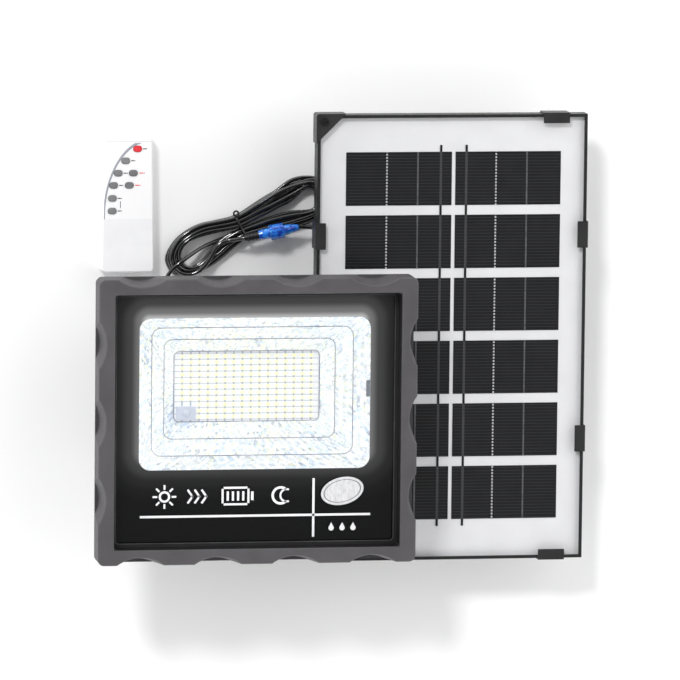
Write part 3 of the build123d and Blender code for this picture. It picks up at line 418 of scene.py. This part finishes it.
def cord_pvc():
    """Glossy black PVC jacket, nearly smooth."""
    look = Look("pvc", linear(13, 13, 14), 0.14, Coat_Weight=1.0, Coat_IOR=1.6, Coat_Roughness=0.07)
    look.colour(look.mix(look.ramp(look.noise(60, 3), 0.35, 0.65), linear(8, 8, 9), linear(17, 17, 18)))
    look.rough(look.ramp(look.noise(500, 2), 0.3, 0.7, 0.12, 0.18))
    return look.bump(look.noise(120, 2), 0.03, 0.2)


def plug_blue():
    """Translucent blue nylon with darker patches and painted cyan highlight patches under a gloss."""
    look = Look("plug_nylon", linear(20, 88, 200), 0.2, Coat_Weight=0.8, Subsurface_Weight=0.25,
                Subsurface_Scale=0.004)
    tone = look.mix(look.ramp(look.noise(260, 3), 0.35, 0.6), linear(8, 52, 168), linear(40, 132, 232))
    # Painted highlights: cyan patches laid over the blue tone.
    look.colour(look.mix(look.ramp(look.noise(420, 2), 0.58, 0.7, 0, 0.7), tone, linear(96, 200, 250)))
    return look.bump(look.noise(500, 2), 0.1, 0.15)


def remote_white():
    """White ABS. The key field is a shallow step behind a curved edge, under an end seam; the curved edge
    carries a painted shadow line.
    """
    look = Look("remote_abs", linear(243, 243, 244), 0.36)
    centre = ((REMOTE_X + 17.0) * MM, (REMOTE_Y - 11.0) * MM, 0)
    shifted = look.vector("SUBTRACT", look.place, centre)
    curve = look.vector("LENGTH", look.vector("MULTIPLY", shifted, (1 / 35.2, 1 / 59.0, 0)))
    above = look.math("GREATER_THAN", look.axis("Y"), (REMOTE_Y - 12.5) * MM)
    below_seam = look.math("LESS_THAN", look.axis("Y"), (REMOTE_Y + 46.6) * MM)
    on_top = look.math("GREATER_THAN", look.axis("Z"), 15.9 * MM)
    zone = look.math("MULTIPLY", look.math("MULTIPLY", above, below_seam), on_top)
    field = look.math("MULTIPLY", look.math("LESS_THAN", curve, 1.0 * MM), zone)
    # Painted shadow: a thin grey line along the step's curved edge.
    edge = look.math("COMPARE", curve, 1.012 * MM)
    edge.node.inputs[2].default_value = 0.02 * MM
    edge = look.math("MULTIPLY", edge, zone)
    seam = look.math("COMPARE", look.axis("Y"), (REMOTE_Y + 47.6) * MM)
    seam.node.inputs[2].default_value = 0.25 * MM
    seam = look.math("MULTIPLY", seam, on_top)
    tone = look.mix(look.ramp(look.noise(40, 3), 0.35, 0.65), linear(238, 238, 240), linear(244, 244, 245))
    upper = look.mix(above, tone, linear(247, 247, 248))
    lined = look.mix(seam, upper, linear(216, 216, 220))
    look.colour(look.mix(edge, lined, linear(160, 162, 172)))
    look.rough(look.ramp(look.noise(1100, 2), 0.3, 0.7, 0.32, 0.44))
    look.bump(field, 0.6, -0.3)
    return look.bump(look.noise(1100, 2), 0.08, 0.12)


def circuit_green():
    look = Look("solder_mask", linear(20, 92, 52), 0.3, Coat_Weight=0.4)
    across = look.stripes(look.axis("X"), 3.4, 0.22)
    track = look.math("MAXIMUM", across, look.stripes(look.axis("Y"), 5.1, 0.16))
    look.colour(look.mix(track, linear(18, 84, 46), linear(44, 128, 78)))
    return look.bump(track, 0.2, 0.05)


def battery_sleeve():
    look = Look("battery_sleeve", linear(30, 84, 170), 0.28, Coat_Weight=0.5)
    band = look.stripes(look.axis("X"), 65.8, 0.06, -140.0)
    tone = look.mix(look.ramp(look.noise(80, 3), 0.35, 0.65), linear(26, 78, 160), linear(40, 96, 186))
    look.colour(look.mix(band, tone, linear(210, 212, 214)))
    return look.bump(look.noise(300, 2), 0.08, 0.15)


def led_phosphor():
    look = Look("phosphor", linear(255, 246, 214), 0.4)
    tone = look.mix(look.ramp(look.noise(420, 2), 0.35, 0.65), linear(228, 226, 196), linear(226, 227, 214))
    look.colour(tone)
    look.colour(tone, "Emission Color")
    look.shader.inputs["Emission Strength"].default_value = 0.55
    return look


def led_board_white():
    look = Look("led_board", linear(240, 242, 246), 0.4)
    columns = look.stripes(look.axis("X"), CHIP_PITCH_X, 0.2, LAMP_X + 3.35 - 0.67)
    rows = look.stripes(look.axis("Y"), CHIP_PITCH_Y, 0.10, REFLECTOR_Y + 2.35 - 0.25)
    grid = look.math("MAXIMUM", columns, rows)
    tone = look.mix(grid, linear(232, 234, 236), linear(176, 181, 192))
    look.colour(tone)
    # Painted glow: the white board emits as if lit by its diodes.
    look.colour(tone, "Emission Color")
    look.shader.inputs["Emission Strength"].default_value = 0.42
    return look.bump(look.noise(700, 2), 0.05, 0.1)


def clear_glass(name, alpha):
    """Clear glass, kept as a lone shader with a plain alpha."""
    material = bpy.data.materials.new(name)
    material.use_nodes = True
    shader = material.node_tree.nodes["Principled BSDF"]
    shader.inputs["Base Color"].default_value = linear(28, 32, 34)
    shader.inputs["Roughness"].default_value = 0.05
    shader.inputs["Alpha"].default_value = alpha
    return material


dark = (linear(70, 68, 70), linear(78, 76, 78))
looks = {
    "bezel_paint": painted_shade_inside(powder("bezel_powder", *dark)),
    "housing_paint": powder("housing_powder", linear(62, 61, 63), linear(71, 70, 72), 0.6),
    "bracket_paint": powder("bracket_powder", linear(34, 34, 36), linear(43, 43, 45), 0.5),
    "gasket_rubber": plastic("gasket", linear(10, 10, 11), linear(17, 17, 18), 0.7, 1200, 0.2),
    # The receiver's emission is a painted glow from the diodes around it.
    "receiver_plastic": plastic("receiver", linear(206, 212, 226), linear(216, 221, 233), 0.35, 900, 0.12,
                                Emission_Color=linear(206, 212, 226), Emission_Strength=0.2),
    "screw_steel": brushed("screw_steel", linear(176, 176, 178), linear(206, 206, 208), 0.3),
    "screw_black": brushed("screw_black", linear(34, 34, 35), linear(48, 48, 50), 0.34, 0.6),
    "battery_cells": battery_sleeve(),
    "holder_plastic": plastic("holder", linear(22, 22, 24), linear(32, 32, 34), 0.5),
    "circuit_board": circuit_green(),
    "gland_plastic": plastic("gland_nylon", linear(22, 22, 23), linear(32, 32, 33), 0.45),
    "frame_aluminium": brushed("frame_anodised", linear(33, 33, 34), linear(42, 42, 43), 0.42, 0.35,
                               (1, 1, 0.15)),
    "backsheet_white": plastic("backsheet", linear(234, 234, 236), linear(239, 239, 241), 0.45, 700, 0.05),
    "cell_silicon": cell_silicon(),
    "busbar_silver": busbar_silver(),
    "ribbon_grey": ribbon_grey(),
    "clip_plastic": plastic("clip", linear(30, 30, 31), linear(40, 40, 41), 0.4),
    "cord_pvc": cord_pvc(),
    "tie_wire": plastic("tie", linear(14, 14, 15), linear(24, 24, 25), 0.4),
    "boot_rubber": plastic("boot", linear(22, 22, 24), linear(36, 36, 38), 0.36),
    "plug_blue": plug_blue(),
    "remote_white": remote_white(),
    "button_red": plastic("button_red", linear(222, 44, 54), linear(232, 62, 70), 0.45, 1200, 0.1),
    "button_grey": plastic("button_grey", linear(112, 112, 114), linear(130, 130, 132), 0.5, 1200, 0.1),
    "led_phosphor": led_phosphor(),
    "led_board_white": led_board_white(),
}
materials = {slot: look.material for slot, look in looks.items()}
materials["lamp_glass"] = clear_glass("lamp_glass_clear", 0.07)
materials["panel_glass"] = clear_glass("panel_glass_clear", 0.05)

for entry in frame["record"]["subparts"]:
    slot = entry["material_slot"]
    if slot in materials:
        thing = nodes[entry["node"]]
        thing.data.materials.clear()
        thing.data.materials.append(materials[slot])


# ---- Mesh helpers -------------------------------------------------------------------
def mesh_piece(name, places, faces, material, body=LAMP_BODY, smooth=False):
    """A piece from places in millimetres, riding on one body."""
    data = bpy.data.meshes.new(name)
    data.from_pydata([Vector(place) * MM for place in places], [], faces)
    data.validate()
    data.update()
    if smooth:
        data.shade_smooth()
    piece = bpy.data.objects.new(name, data)
    bpy.context.scene.collection.objects.link(piece)
    data.materials.append(material)
    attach(piece, body)
    return piece


def rounded_rectangle(x, y, width, height, radius, side_x=1, side_y=1, corner=8):
    """Places in plan round a rectangle, anticlockwise from its lower right corner."""
    half_x, half_y = width / 2 - radius, height / 2 - radius
    places = []
    corners = ((1, -1, -90), (1, 1, 0), (-1, 1, 90), (-1, -1, 180))
    for number, (sx, sy, start) in enumerate(corners):
        for step in range(corner + 1):
            angle = math.radians(start + 90 * step / corner)
            places.append((x + sx * half_x + radius * math.cos(angle),
                           y + sy * half_y + radius * math.sin(angle)))
        along = side_y if number % 2 == 0 else side_x
        after = corners[(number + 1) % 4]
        turn = math.radians(start + 90)
        begin = places[-1]
        end = (x + after[0] * half_x + radius * math.cos(turn),
               y + after[1] * half_y + radius * math.sin(turn))
        for step in range(1, along):
            share = step / along
            places.append((begin[0] + (end[0] - begin[0]) * share, begin[1] + (end[1] - begin[1]) * share))
    return places


def ring_plate(outer, inner, low, high):
    """Places and faces of a flat ring between two outlines with the same number of points."""
    count = len(outer)
    places = [(x, y, z) for z in (low, high) for outline in (outer, inner) for x, y in outline]
    faces = []
    for i in range(count):
        j = (i + 1) % count
        o, n = 0, count
        t = 2 * count
        faces.append((o + i, n + i, n + j, o + j))
        faces.append((t + i, t + j, t + n + j, t + n + i))
        faces.append((o + i, o + j, t + j, t + i))
        faces.append((n + j, n + i, t + n + i, t + n + j))
    return places, faces


class Print:
    """Thin raised print built up from flat outlines."""

    def __init__(self, low, thickness):
        self.low, self.high = low, low + thickness
        self.places, self.faces = [], []

    def shape(self, outline):
        start, count = len(self.places), len(outline)
        self.places += [(x, y, self.low) for x, y in outline] + [(x, y, self.high) for x, y in outline]
        self.faces.append(tuple(start + i for i in reversed(range(count))))
        self.faces.append(tuple(start + count + i for i in range(count)))
        for i in range(count):
            j = (i + 1) % count
            self.faces.append((start + i, start + j, start + count + j, start + count + i))
        return self

    def bar(self, start, end, width):
        a, b = Vector(start), Vector(end)
        along = (b - a).normalized() * width / 2
        side = Vector((-along.y, along.x))
        corners = (a - along - side, b + along - side, b + along + side, a - along + side)
        return self.shape([tuple(corner) for corner in corners])

    def disc(self, centre, radius, count=28):
        return self.shape([(centre[0] + radius * math.cos(2 * math.pi * i / count),
                            centre[1] + radius * math.sin(2 * math.pi * i / count)) for i in range(count)])

    def arc(self, centre, radius, start, end, width, count=18):
        """A band along an arc, angles in degrees."""
        for i in range(count):
            turn = [math.radians(start + (end - start) * (i + k) / count) for k in (0, 1)]
            outline = [(centre[0] + r * math.cos(t), centre[1] + r * math.sin(t))
                       for r, t in ((radius + width / 2, turn[0]), (radius + width / 2, turn[1]),
                                    (radius - width / 2, turn[1]), (radius - width / 2, turn[0]))]
            self.shape(outline if end < start else list(reversed(outline)))
        return self

    def piece(self, name, material, slot, body=LAMP_BODY):
        return mesh_piece(name, self.places, self.faces, material, body)


# ---- Lamp window, reflector and diodes ----------------------------------------------
def lamp_mask():
    """The glass's black print, with its clear window over the reflector."""
    outer = rounded_rectangle(LAMP_X, LAMP_Y, 216.0, 191.0, 3.0, 12, 12)
    mouth = REFLECTOR_STEPS[0]
    inner = rounded_rectangle(LAMP_X, REFLECTOR_Y, mouth[0] + 0.4, mouth[1] + 0.4, mouth[2], 12, 12)
    places, faces = ring_plate(outer, inner, 105.52, 105.6)
    return mesh_piece("lamp_mask", places, faces, halo_glass().material)


def reflector_look():
    # Painted glow and reflection: emission and the per-facet colours stand in for the diodes' light
    # bouncing off the mirror.
    look = Look("reflector_painted_glow", linear(238, 240, 244), 0.22, 0.55)
    painted_reflection = look.add("ShaderNodeAttribute", attribute_name="painted_reflection").outputs["Color"]
    soft = look.mix(look.ramp(look.noise(55, 2), 0.35, 0.65, 0, 0.5), painted_reflection, linear(250, 251, 252))
    look.colour(soft)
    look.colour(soft, "Emission Color")
    look.shader.inputs["Emission Strength"].default_value = 0.22
    look.rough(look.ramp(look.noise(900, 2), 0.3, 0.7, 0.16, 0.3))
    return look.material


def reflector_facets():
    """The stepped mirror: three banks of small diamond facets with a plain rim on each step."""
    draw = random.Random(3)
    places, faces, painted_reflections = [], [], []
    rims = []

    def outline(size, growth):
        return rounded_rectangle(LAMP_X, REFLECTOR_Y, size[0] + 2 * growth, size[1] + 2 * growth,
                                 size[2] + growth, 40, 26, 8)

    for upper, lower, rows in zip(REFLECTOR_STEPS, REFLECTOR_STEPS[1:], (5, 5, 5)):
        top, bottom = outline(upper, 0.0), outline(lower, 0.7)
        count = len(top)
        start = len(places)
        for row in range(rows + 1):
            share = row / rows
            for i in range(count):
                k = (i + 0.5 * (row % 2)) % count
                a, b = int(k), (int(k) + 1) % count
                part = k - int(k)
                x = [edge[a][0] * (1 - part) + edge[b][0] * part for edge in (top, bottom)]
                y = [edge[a][1] * (1 - part) + edge[b][1] * part for edge in (top, bottom)]
                z = upper[3] * (1 - share) + (lower[3] + 0.2) * share
                px, py = x[0] * (1 - share) + x[1] * share, y[0] * (1 - share) + y[1] * share
                if 0 < row < rows:
                    push = 0.55 if i % 2 else -0.1
                    dx, dy = px - LAMP_X, py - REFLECTOR_Y
                    size = math.hypot(dx, dy)
                    px, py, z = px + dx / size * push, py + dy / size * push, z - push * 0.6
                places.append((px, py, z))
        for row in range(rows):
            for i in range(count):
                j = (i + 1) % count
                a, b = start + row * count + i, start + row * count + j
                c, d = a + count, b + count
                pair = ((a, c, b), (b, c, d)) if row % 2 == 0 else ((a, c, d), (a, d, b))
                for face in pair:
                    faces.append(face)
                    # Painted reflections: blue, yellow, white and grey facets stand in for the lit diodes
                    # and shade mirrored in the facets.
                    pick = draw.random()
                    if pick < 0.18:
                        painted_reflections.append((0.68, 0.79, 0.93))
                    elif pick < 0.30:
                        painted_reflections.append((0.92, 0.96, 0.78))
                    elif pick < 0.42:
                        painted_reflections.append((0.56, 0.61, 0.68))
                    elif pick < 0.62:
                        painted_reflections.append((0.84, 0.92, 0.97))
                    else:
                        painted_reflections.append((0.98, 0.99, 1.0))
        rims.append((outline(lower, 0.7), outline(lower, 0.0), lower[3] + 0.2))
    flange = outline(REFLECTOR_STEPS[0], 3.8)
    rims.append((flange, outline(REFLECTOR_STEPS[0], 0.0), REFLECTOR_STEPS[0][3]))
    for outer, inner, z in rims:
        start, count = len(places), len(outer)
        places += [(x, y, z) for x, y in outer] + [(x, y, z) for x, y in inner]
        for i in range(count):
            j = (i + 1) % count
            faces.append((start + i, start + j, start + count + j, start + count + i))
            # The step rims get a darker grey-blue painted shade.
            painted_reflections.append((0.46, 0.47, 0.56))
    piece = mesh_piece("reflector_facets", places, faces, reflector_look())
    layer = piece.data.color_attributes.new("painted_reflection", "FLOAT_COLOR", "CORNER")
    for polygon, painted_reflection in zip(piece.data.polygons, painted_reflections):
        for corner in polygon.loop_indices:
            layer.data[corner].color = (*painted_reflection, 1.0)
    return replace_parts(piece, "reflector")


def window_tab():
    """The small grey tab on the window's right edge, chamfered all round."""
    x, y, low, high = 15.1, LAMP_Y + 22.1, 103.6, 105.0
    outer = rounded_rectangle(x, y, 3.4, 12.7, 0.6, 1, 1, 3)
    inner = rounded_rectangle(x, y, 2.4, 11.7, 0.5, 1, 1, 3)
    count = len(outer)
    places = [(px, py, low) for px, py in outer] + [(px, py, high - 0.4) for px, py in outer]
    places += [(px, py, high) for px, py in inner]
    faces = [tuple(reversed(range(count))), tuple(2 * count + i for i in range(count))]
    for level in (0, 1):
        for i in range(count):
            j = (i + 1) % count
            a = level * count
            faces.append((a + i, a + j, a + count + j, a + count + i))
    grey = plastic("tab_plastic", linear(132, 137, 146), linear(150, 154, 162), 0.45).material
    return mesh_piece("window_tab", places, faces, grey)


def led_lenses():
    """A low round phosphor dome on each diode."""
    places, faces = [], []
    chip_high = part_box("led_chips")[1]
    receiver_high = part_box("ir_receiver")[1]
    steps = 10
    for column in range(CHIP_COLUMNS):
        for row in range(CHIP_ROWS):
            x = LAMP_X + (column - (CHIP_COLUMNS - 1) / 2) * CHIP_PITCH_X
            y = REFLECTOR_Y + (row - (CHIP_ROWS - 1) / 2) * CHIP_PITCH_Y
            if x < receiver_high.x / MM + 2 and y < receiver_high.y / MM + 2:
                continue
            start = len(places)
            top = chip_high.z / MM
            for radius, z in ((1.15, top - 0.05), (0.8, top + 0.16)):
                places += [(x + radius * math.cos(2 * math.pi * k / steps),
                            y + radius * math.sin(2 * math.pi * k / steps), z) for k in range(steps)]
            places.append((x, y, top + 0.24))
            for k in range(steps):
                j = (k + 1) % steps
                faces.append((start + k, start + j, start + steps + j, start + steps + k))
                faces.append((start + steps + k, start + steps + j, start + 2 * steps))
    look = Look("lens_glow", linear(255, 238, 170), 0.3)
    tone = look.mix(look.ramp(look.noise(160, 2), 0.35, 0.65), linear(255, 240, 176), linear(255, 250, 214))
    look.colour(tone)
    look.colour(tone, "Emission Color")
    look.shader.inputs["Emission Strength"].default_value = 0.55
    return mesh_piece("led_lenses", places, faces, look.material, smooth=True)


def glass_edge_highlight():
    """A thin lighter ring round the cover glass: a painted highlight where its edge catches the light."""
    outer = rounded_rectangle(LAMP_X, LAMP_Y, GLASS_WIDTH, GLASS_HEIGHT, 3.0, 8, 8)
    inner = rounded_rectangle(LAMP_X, LAMP_Y, 215.0, 190.0, 2.6, 8, 8)
    places, faces = ring_plate(outer, inner, GLASS_TOP_Z, GLASS_TOP_Z + 0.05)
    grey = plastic("painted_edge_highlight", linear(62, 62, 64), linear(84, 84, 86), 0.35).material
    return mesh_piece("glass_edge_highlight", places, faces, grey)


lamp_mask()
reflector_facets()
window_tab()
led_lenses()
glass_edge_highlight()

# ---- Print on the cover glass: two lines, plain signs and a blank oval badge ---------
white_ink = plastic("white_ink", linear(236, 236, 238), linear(246, 246, 248), 0.5, 1500, 0.05).material


def droplet(ink, x, y, size):
    """A water drop with its point up."""
    outline = [(x, y + size * 1.5)]
    for i in range(19):
        angle = math.radians(38 - i * 256 / 18)
        outline.append((x + size * 0.72 * math.cos(angle), y + size * 0.72 * math.sin(angle)))
    ink.shape(list(reversed(outline)))


def lamp_print():
    ink = Print(GLASS_TOP_Z, 0.04)
    ink.bar((-161.0, LAMP_Y - 74.7), (15.9, LAMP_Y - 74.7), 1.8)
    ink.bar((-27.5, LAMP_Y - 47.2), (-27.5, LAMP_Y - 90.9), 1.8)
    y = LAMP_Y - 59.3
    sun = (-143.0, y)
    ink.arc(sun, 3.6, 0, 360, 1.7, 28)
    for k in range(8):
        turn = math.radians(45 * k)
        ray = Vector((math.cos(turn), math.sin(turn)))
        ink.bar(tuple(Vector(sun) + ray * 6.3), tuple(Vector(sun) + ray * 8.4), 1.5)
    for k in range(3):
        x = -123.0 + k * 5.4
        ink.bar((x - 1.6, y + 4.6), (x + 1.6, y), 1.6)
        ink.bar((x - 1.6, y - 4.6), (x + 1.6, y), 1.6)
    low, high = y - 6.4, y + 6.4
    ink.bar((-98.0, low), (-98.0, high), 1.6).bar((-78.0, low), (-78.0, high), 1.6)
    ink.bar((-98.0, low), (-78.0, low), 1.6).bar((-98.0, high), (-78.0, high), 1.6)
    ink.bar((-75.0, y - 2.4), (-75.0, y + 2.4), 2.0)
    for k in range(4):
        ink.bar((-94.0 + k * 4.0, y - 2.8), (-94.0 + k * 4.0, y + 2.8), 1.7)
    moon = (-53.0, y)
    ink.arc(moon, 6.2, 48, 312, 1.9, 30)
    ink.arc((moon[0] + 4.6, y), 4.8, 68, 292, 1.4, 24)
    for k in range(3):
        droplet(ink, -13.5 + k * 8.5, LAMP_Y - 85.1, 2.9)
    return ink.piece("lamp_print", white_ink, "lamp_glass")


def badge():
    """A blank oval sticker with a rim line, on the glass."""
    centre, turn = (-5.1, LAMP_Y - 56.5), math.radians(13)
    rings = ((16.8, 10.6, 0.0), (16.8, 10.6, 0.10), (16.4, 10.2, 0.16), (14.9, 8.9, 0.16),
             (14.6, 8.6, 0.09), (14.1, 8.1, 0.09), (13.8, 7.8, 0.16))
    count = 56
    places = []
    for half_x, half_y, rise in rings:
        for i in range(count):
            angle = 2 * math.pi * i / count
            x, y = half_x * math.cos(angle), half_y * math.sin(angle)
            places.append((centre[0] + x * math.cos(turn) - y * math.sin(turn),
                           centre[1] + x * math.sin(turn) + y * math.cos(turn), GLASS_TOP_Z + rise))
    faces = [tuple(reversed(range(count))), tuple((len(rings) - 1) * count + i for i in range(count))]
    for level in range(len(rings) - 1):
        for i in range(count):
            j = (i + 1) % count
            a = level * count
            faces.append((a + i, a + j, a + count + j, a + count + i))
    look = Look("badge_foil", linear(214, 214, 216), 0.4)
    shifted = look.vector("SUBTRACT", look.place, (centre[0] * MM, centre[1] * MM, 0))
    turned = look.add("ShaderNodeVectorRotate", rotation_type="Z_AXIS")
    look.put(turned.inputs["Vector"], shifted)
    turned.inputs["Angle"].default_value = -turn
    scaled = look.vector("MULTIPLY", turned.outputs[0], (1 / 14.4, 1 / 8.4, 0))
    distance = look.vector("LENGTH", scaled)
    rim = look.math("COMPARE", distance, 1.0 * MM)
    rim.node.inputs[2].default_value = 0.03 * MM
    grain = look.ramp(look.noise(700, 3, (1, 0.3, 1)), 0.3, 0.7)
    foil = look.mix(grain, linear(198, 198, 200), linear(228, 228, 230))
    look.colour(look.mix(rim, foil, linear(120, 120, 124)))
    look.bump(look.noise(700, 3), 0.1, 0.05)
    return mesh_piece("badge", places, faces, look.material)


lamp_print()
badge()

# ---- Wire tie and cords -------------------------------------------------------------
TIE_ROUTE = ((10.9, 5.4), (10.2, 10.2), (5.0, 11.7), (-1.0, 12.2), (-4.4, 15.0), (-7.6, 17.6),
             (-10.6, 15.6), (-11.3, 9.0), (-10.9, 3.0), (-8.8, 0.75), (0.0, 0.75), (8.8, 0.75),
             (10.9, 2.6))


def tie_route():
    """Once round the waist on a slant, with the ends twisted into a small eye on top."""
    angle = math.radians((HANK_LEFT_ANGLE + HANK_RIGHT_ANGLE) / 2)
    along = Vector((math.cos(angle), math.sin(angle), 0))
    across = Vector((-math.sin(angle), math.cos(angle), 0))
    tie = Vector((HANK_TIE_X, HANK_TIE_Y, 0))
    route = [tie + across * reach + along * (-0.08 * reach) + Vector((0, 0, z)) for reach, z in TIE_ROUTE]
    eye = []
    for turn in [2 * math.pi * k / 10 for k in range(10)]:
        flat = across * (12.4 + 1.9 * math.cos(turn)) + along * (0.6 + 1.9 * math.sin(turn))
        eye.append(tie + flat + Vector((0, 0, 10.4)))
    return route, eye


def wire_mesh(name, *loops):
    """Closed wires as one mesh."""
    wires = [soft_curve(f"{name}_{number}", loop, TIE_WIRE_DIAMETER, cyclic=True)
             for number, loop in enumerate(loops)]
    bpy.context.view_layer.update()
    graph = bpy.context.evaluated_depsgraph_get()
    places, faces = [], []
    for wire in wires:
        shape = bpy.data.meshes.new_from_object(wire.evaluated_get(graph))
        start = len(places)
        places += [vertex.co.copy() for vertex in shape.vertices]
        faces += [[start + corner for corner in polygon.vertices] for polygon in shape.polygons]
        bpy.data.meshes.remove(shape)
        bpy.data.objects.remove(wire)
    data = bpy.data.meshes.new(name)
    data.from_pydata(places, [], faces)
    data.shade_smooth()
    piece = bpy.data.objects.new(name, data)
    bpy.context.scene.collection.objects.link(piece)
    return piece


tie_loop, tie_eye = tie_route()
tie = wire_mesh("tie_wire", tie_loop, tie_eye)
for cord in (lamp_cord, panel_cord):
    cord.data.materials.append(materials["cord_pvc"])
    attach(cord, LAMP_BODY)
tie.data.materials.append(materials["tie_wire"])
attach(tie, LAMP_BODY)
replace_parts(lamp_cord, "lamp_lead", "cable_hank", "plug_tail")
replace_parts(panel_cord, "panel_lead")
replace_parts(tie, "hank_tie")


# ---- Remote marks -------------------------------------------------------------------
def remote_marks():
    """Plain dashes and dots beside the keys, in place of words."""
    ink = Print(REMOTE_TOP_Z, 0.05)
    for x, y in ((7.2, 42.0), (-2.0, 32.8), (-7.8, 23.2), (-11.3, 13.7), (-12.2, 3.6), (-12.3, -6.2)):
        place = (REMOTE_X + x + 4.6, REMOTE_Y + y)
        ink.bar(place, (place[0] + 1.4, place[1]), 0.8)
        ink.disc((place[0] + 2.4, place[1]), 0.45, 10)
    ink.bar((REMOTE_X - 5.9, REMOTE_Y - 3.8), (REMOTE_X - 5.9, REMOTE_Y + 1.2), 0.5)
    dark_ink = plastic("mark_ink", linear(58, 58, 62), linear(78, 78, 82)).material
    return ink.piece("remote_marks", dark_ink, "button_grey", "remote")


def remote_red_marks():
    ink = Print(REMOTE_TOP_Z, 0.05)
    for x, y in ((4.0, 23.2), (0.9, 13.7)):
        place = (REMOTE_X + x + 5.0, REMOTE_Y + y)
        ink.bar(place, (place[0] + 2.2, place[1]), 0.8)
        ink.disc((place[0] + 3.4, place[1]), 0.45, 10)
    return ink.piece("remote_red_marks", materials["button_red"], "button_red", "remote")


remote_marks()
remote_red_marks()


# ---- Floor, light and finish --------------------------------------------------------
def floor():
    data = bpy.data.meshes.new("floor")
    size = 6.0
    data.from_pydata([(-size, -size, -0.0004), (size, -size, -0.0004), (size, size, -0.0004),
                      (-size, size, -0.0004)], [], [(0, 1, 2, 3)])
    piece = bpy.data.objects.new("floor", data)
    bpy.context.scene.collection.objects.link(piece)
    look = Look("pale_floor", (0.95, 0.95, 0.95, 1), 0.9, Specular_IOR_Level=0.1)
    patches = look.ramp(look.noise(2, 2), 0.3, 0.7)
    look.colour(look.mix(patches, (0.94, 0.94, 0.94, 1), (0.96, 0.96, 0.96, 1)))
    data.materials.append(look.material)


def sun(direction, strength, angle):
    data = bpy.data.lights.new("sun", "SUN")
    data.energy = strength
    data.angle = math.radians(angle)
    lamp = bpy.data.objects.new("sun", data)
    bpy.context.scene.collection.objects.link(lamp)
    lamp.rotation_euler = Vector(direction).to_track_quat("Z", "Y").to_euler()


def sky():
    """A pale studio that is bright near the horizon and dark overhead."""
    world = bpy.data.worlds.new("studio")
    bpy.context.scene.world = world
    world.use_nodes = True
    tree = world.node_tree
    coordinates = tree.nodes.new("ShaderNodeTexCoord")
    split = tree.nodes.new("ShaderNodeSeparateXYZ")
    tree.links.new(coordinates.outputs["Generated"], split.inputs[0])
    ramp = tree.nodes.new("ShaderNodeMapRange")
    tree.links.new(split.outputs["Z"], ramp.inputs["Value"])
    for key, number in zip(("From Min", "From Max", "To Min", "To Max"), (0.45, 0.93, 1.0, 0.12)):
        ramp.inputs[key].default_value = number
    background = tree.nodes["Background"]
    tree.links.new(ramp.outputs[0], background.inputs["Color"])
    background.inputs["Strength"].default_value = 1.35


floor()
sky()
sun((-0.55, 0.85, 1.1), 1.4, 10)
sun((0.8, 0.35, 0.75), 0.7, 60)
sun((0.1, -0.9, 0.6), 0.45, 60)
bpy.context.scene.view_settings.view_transform = "Standard"
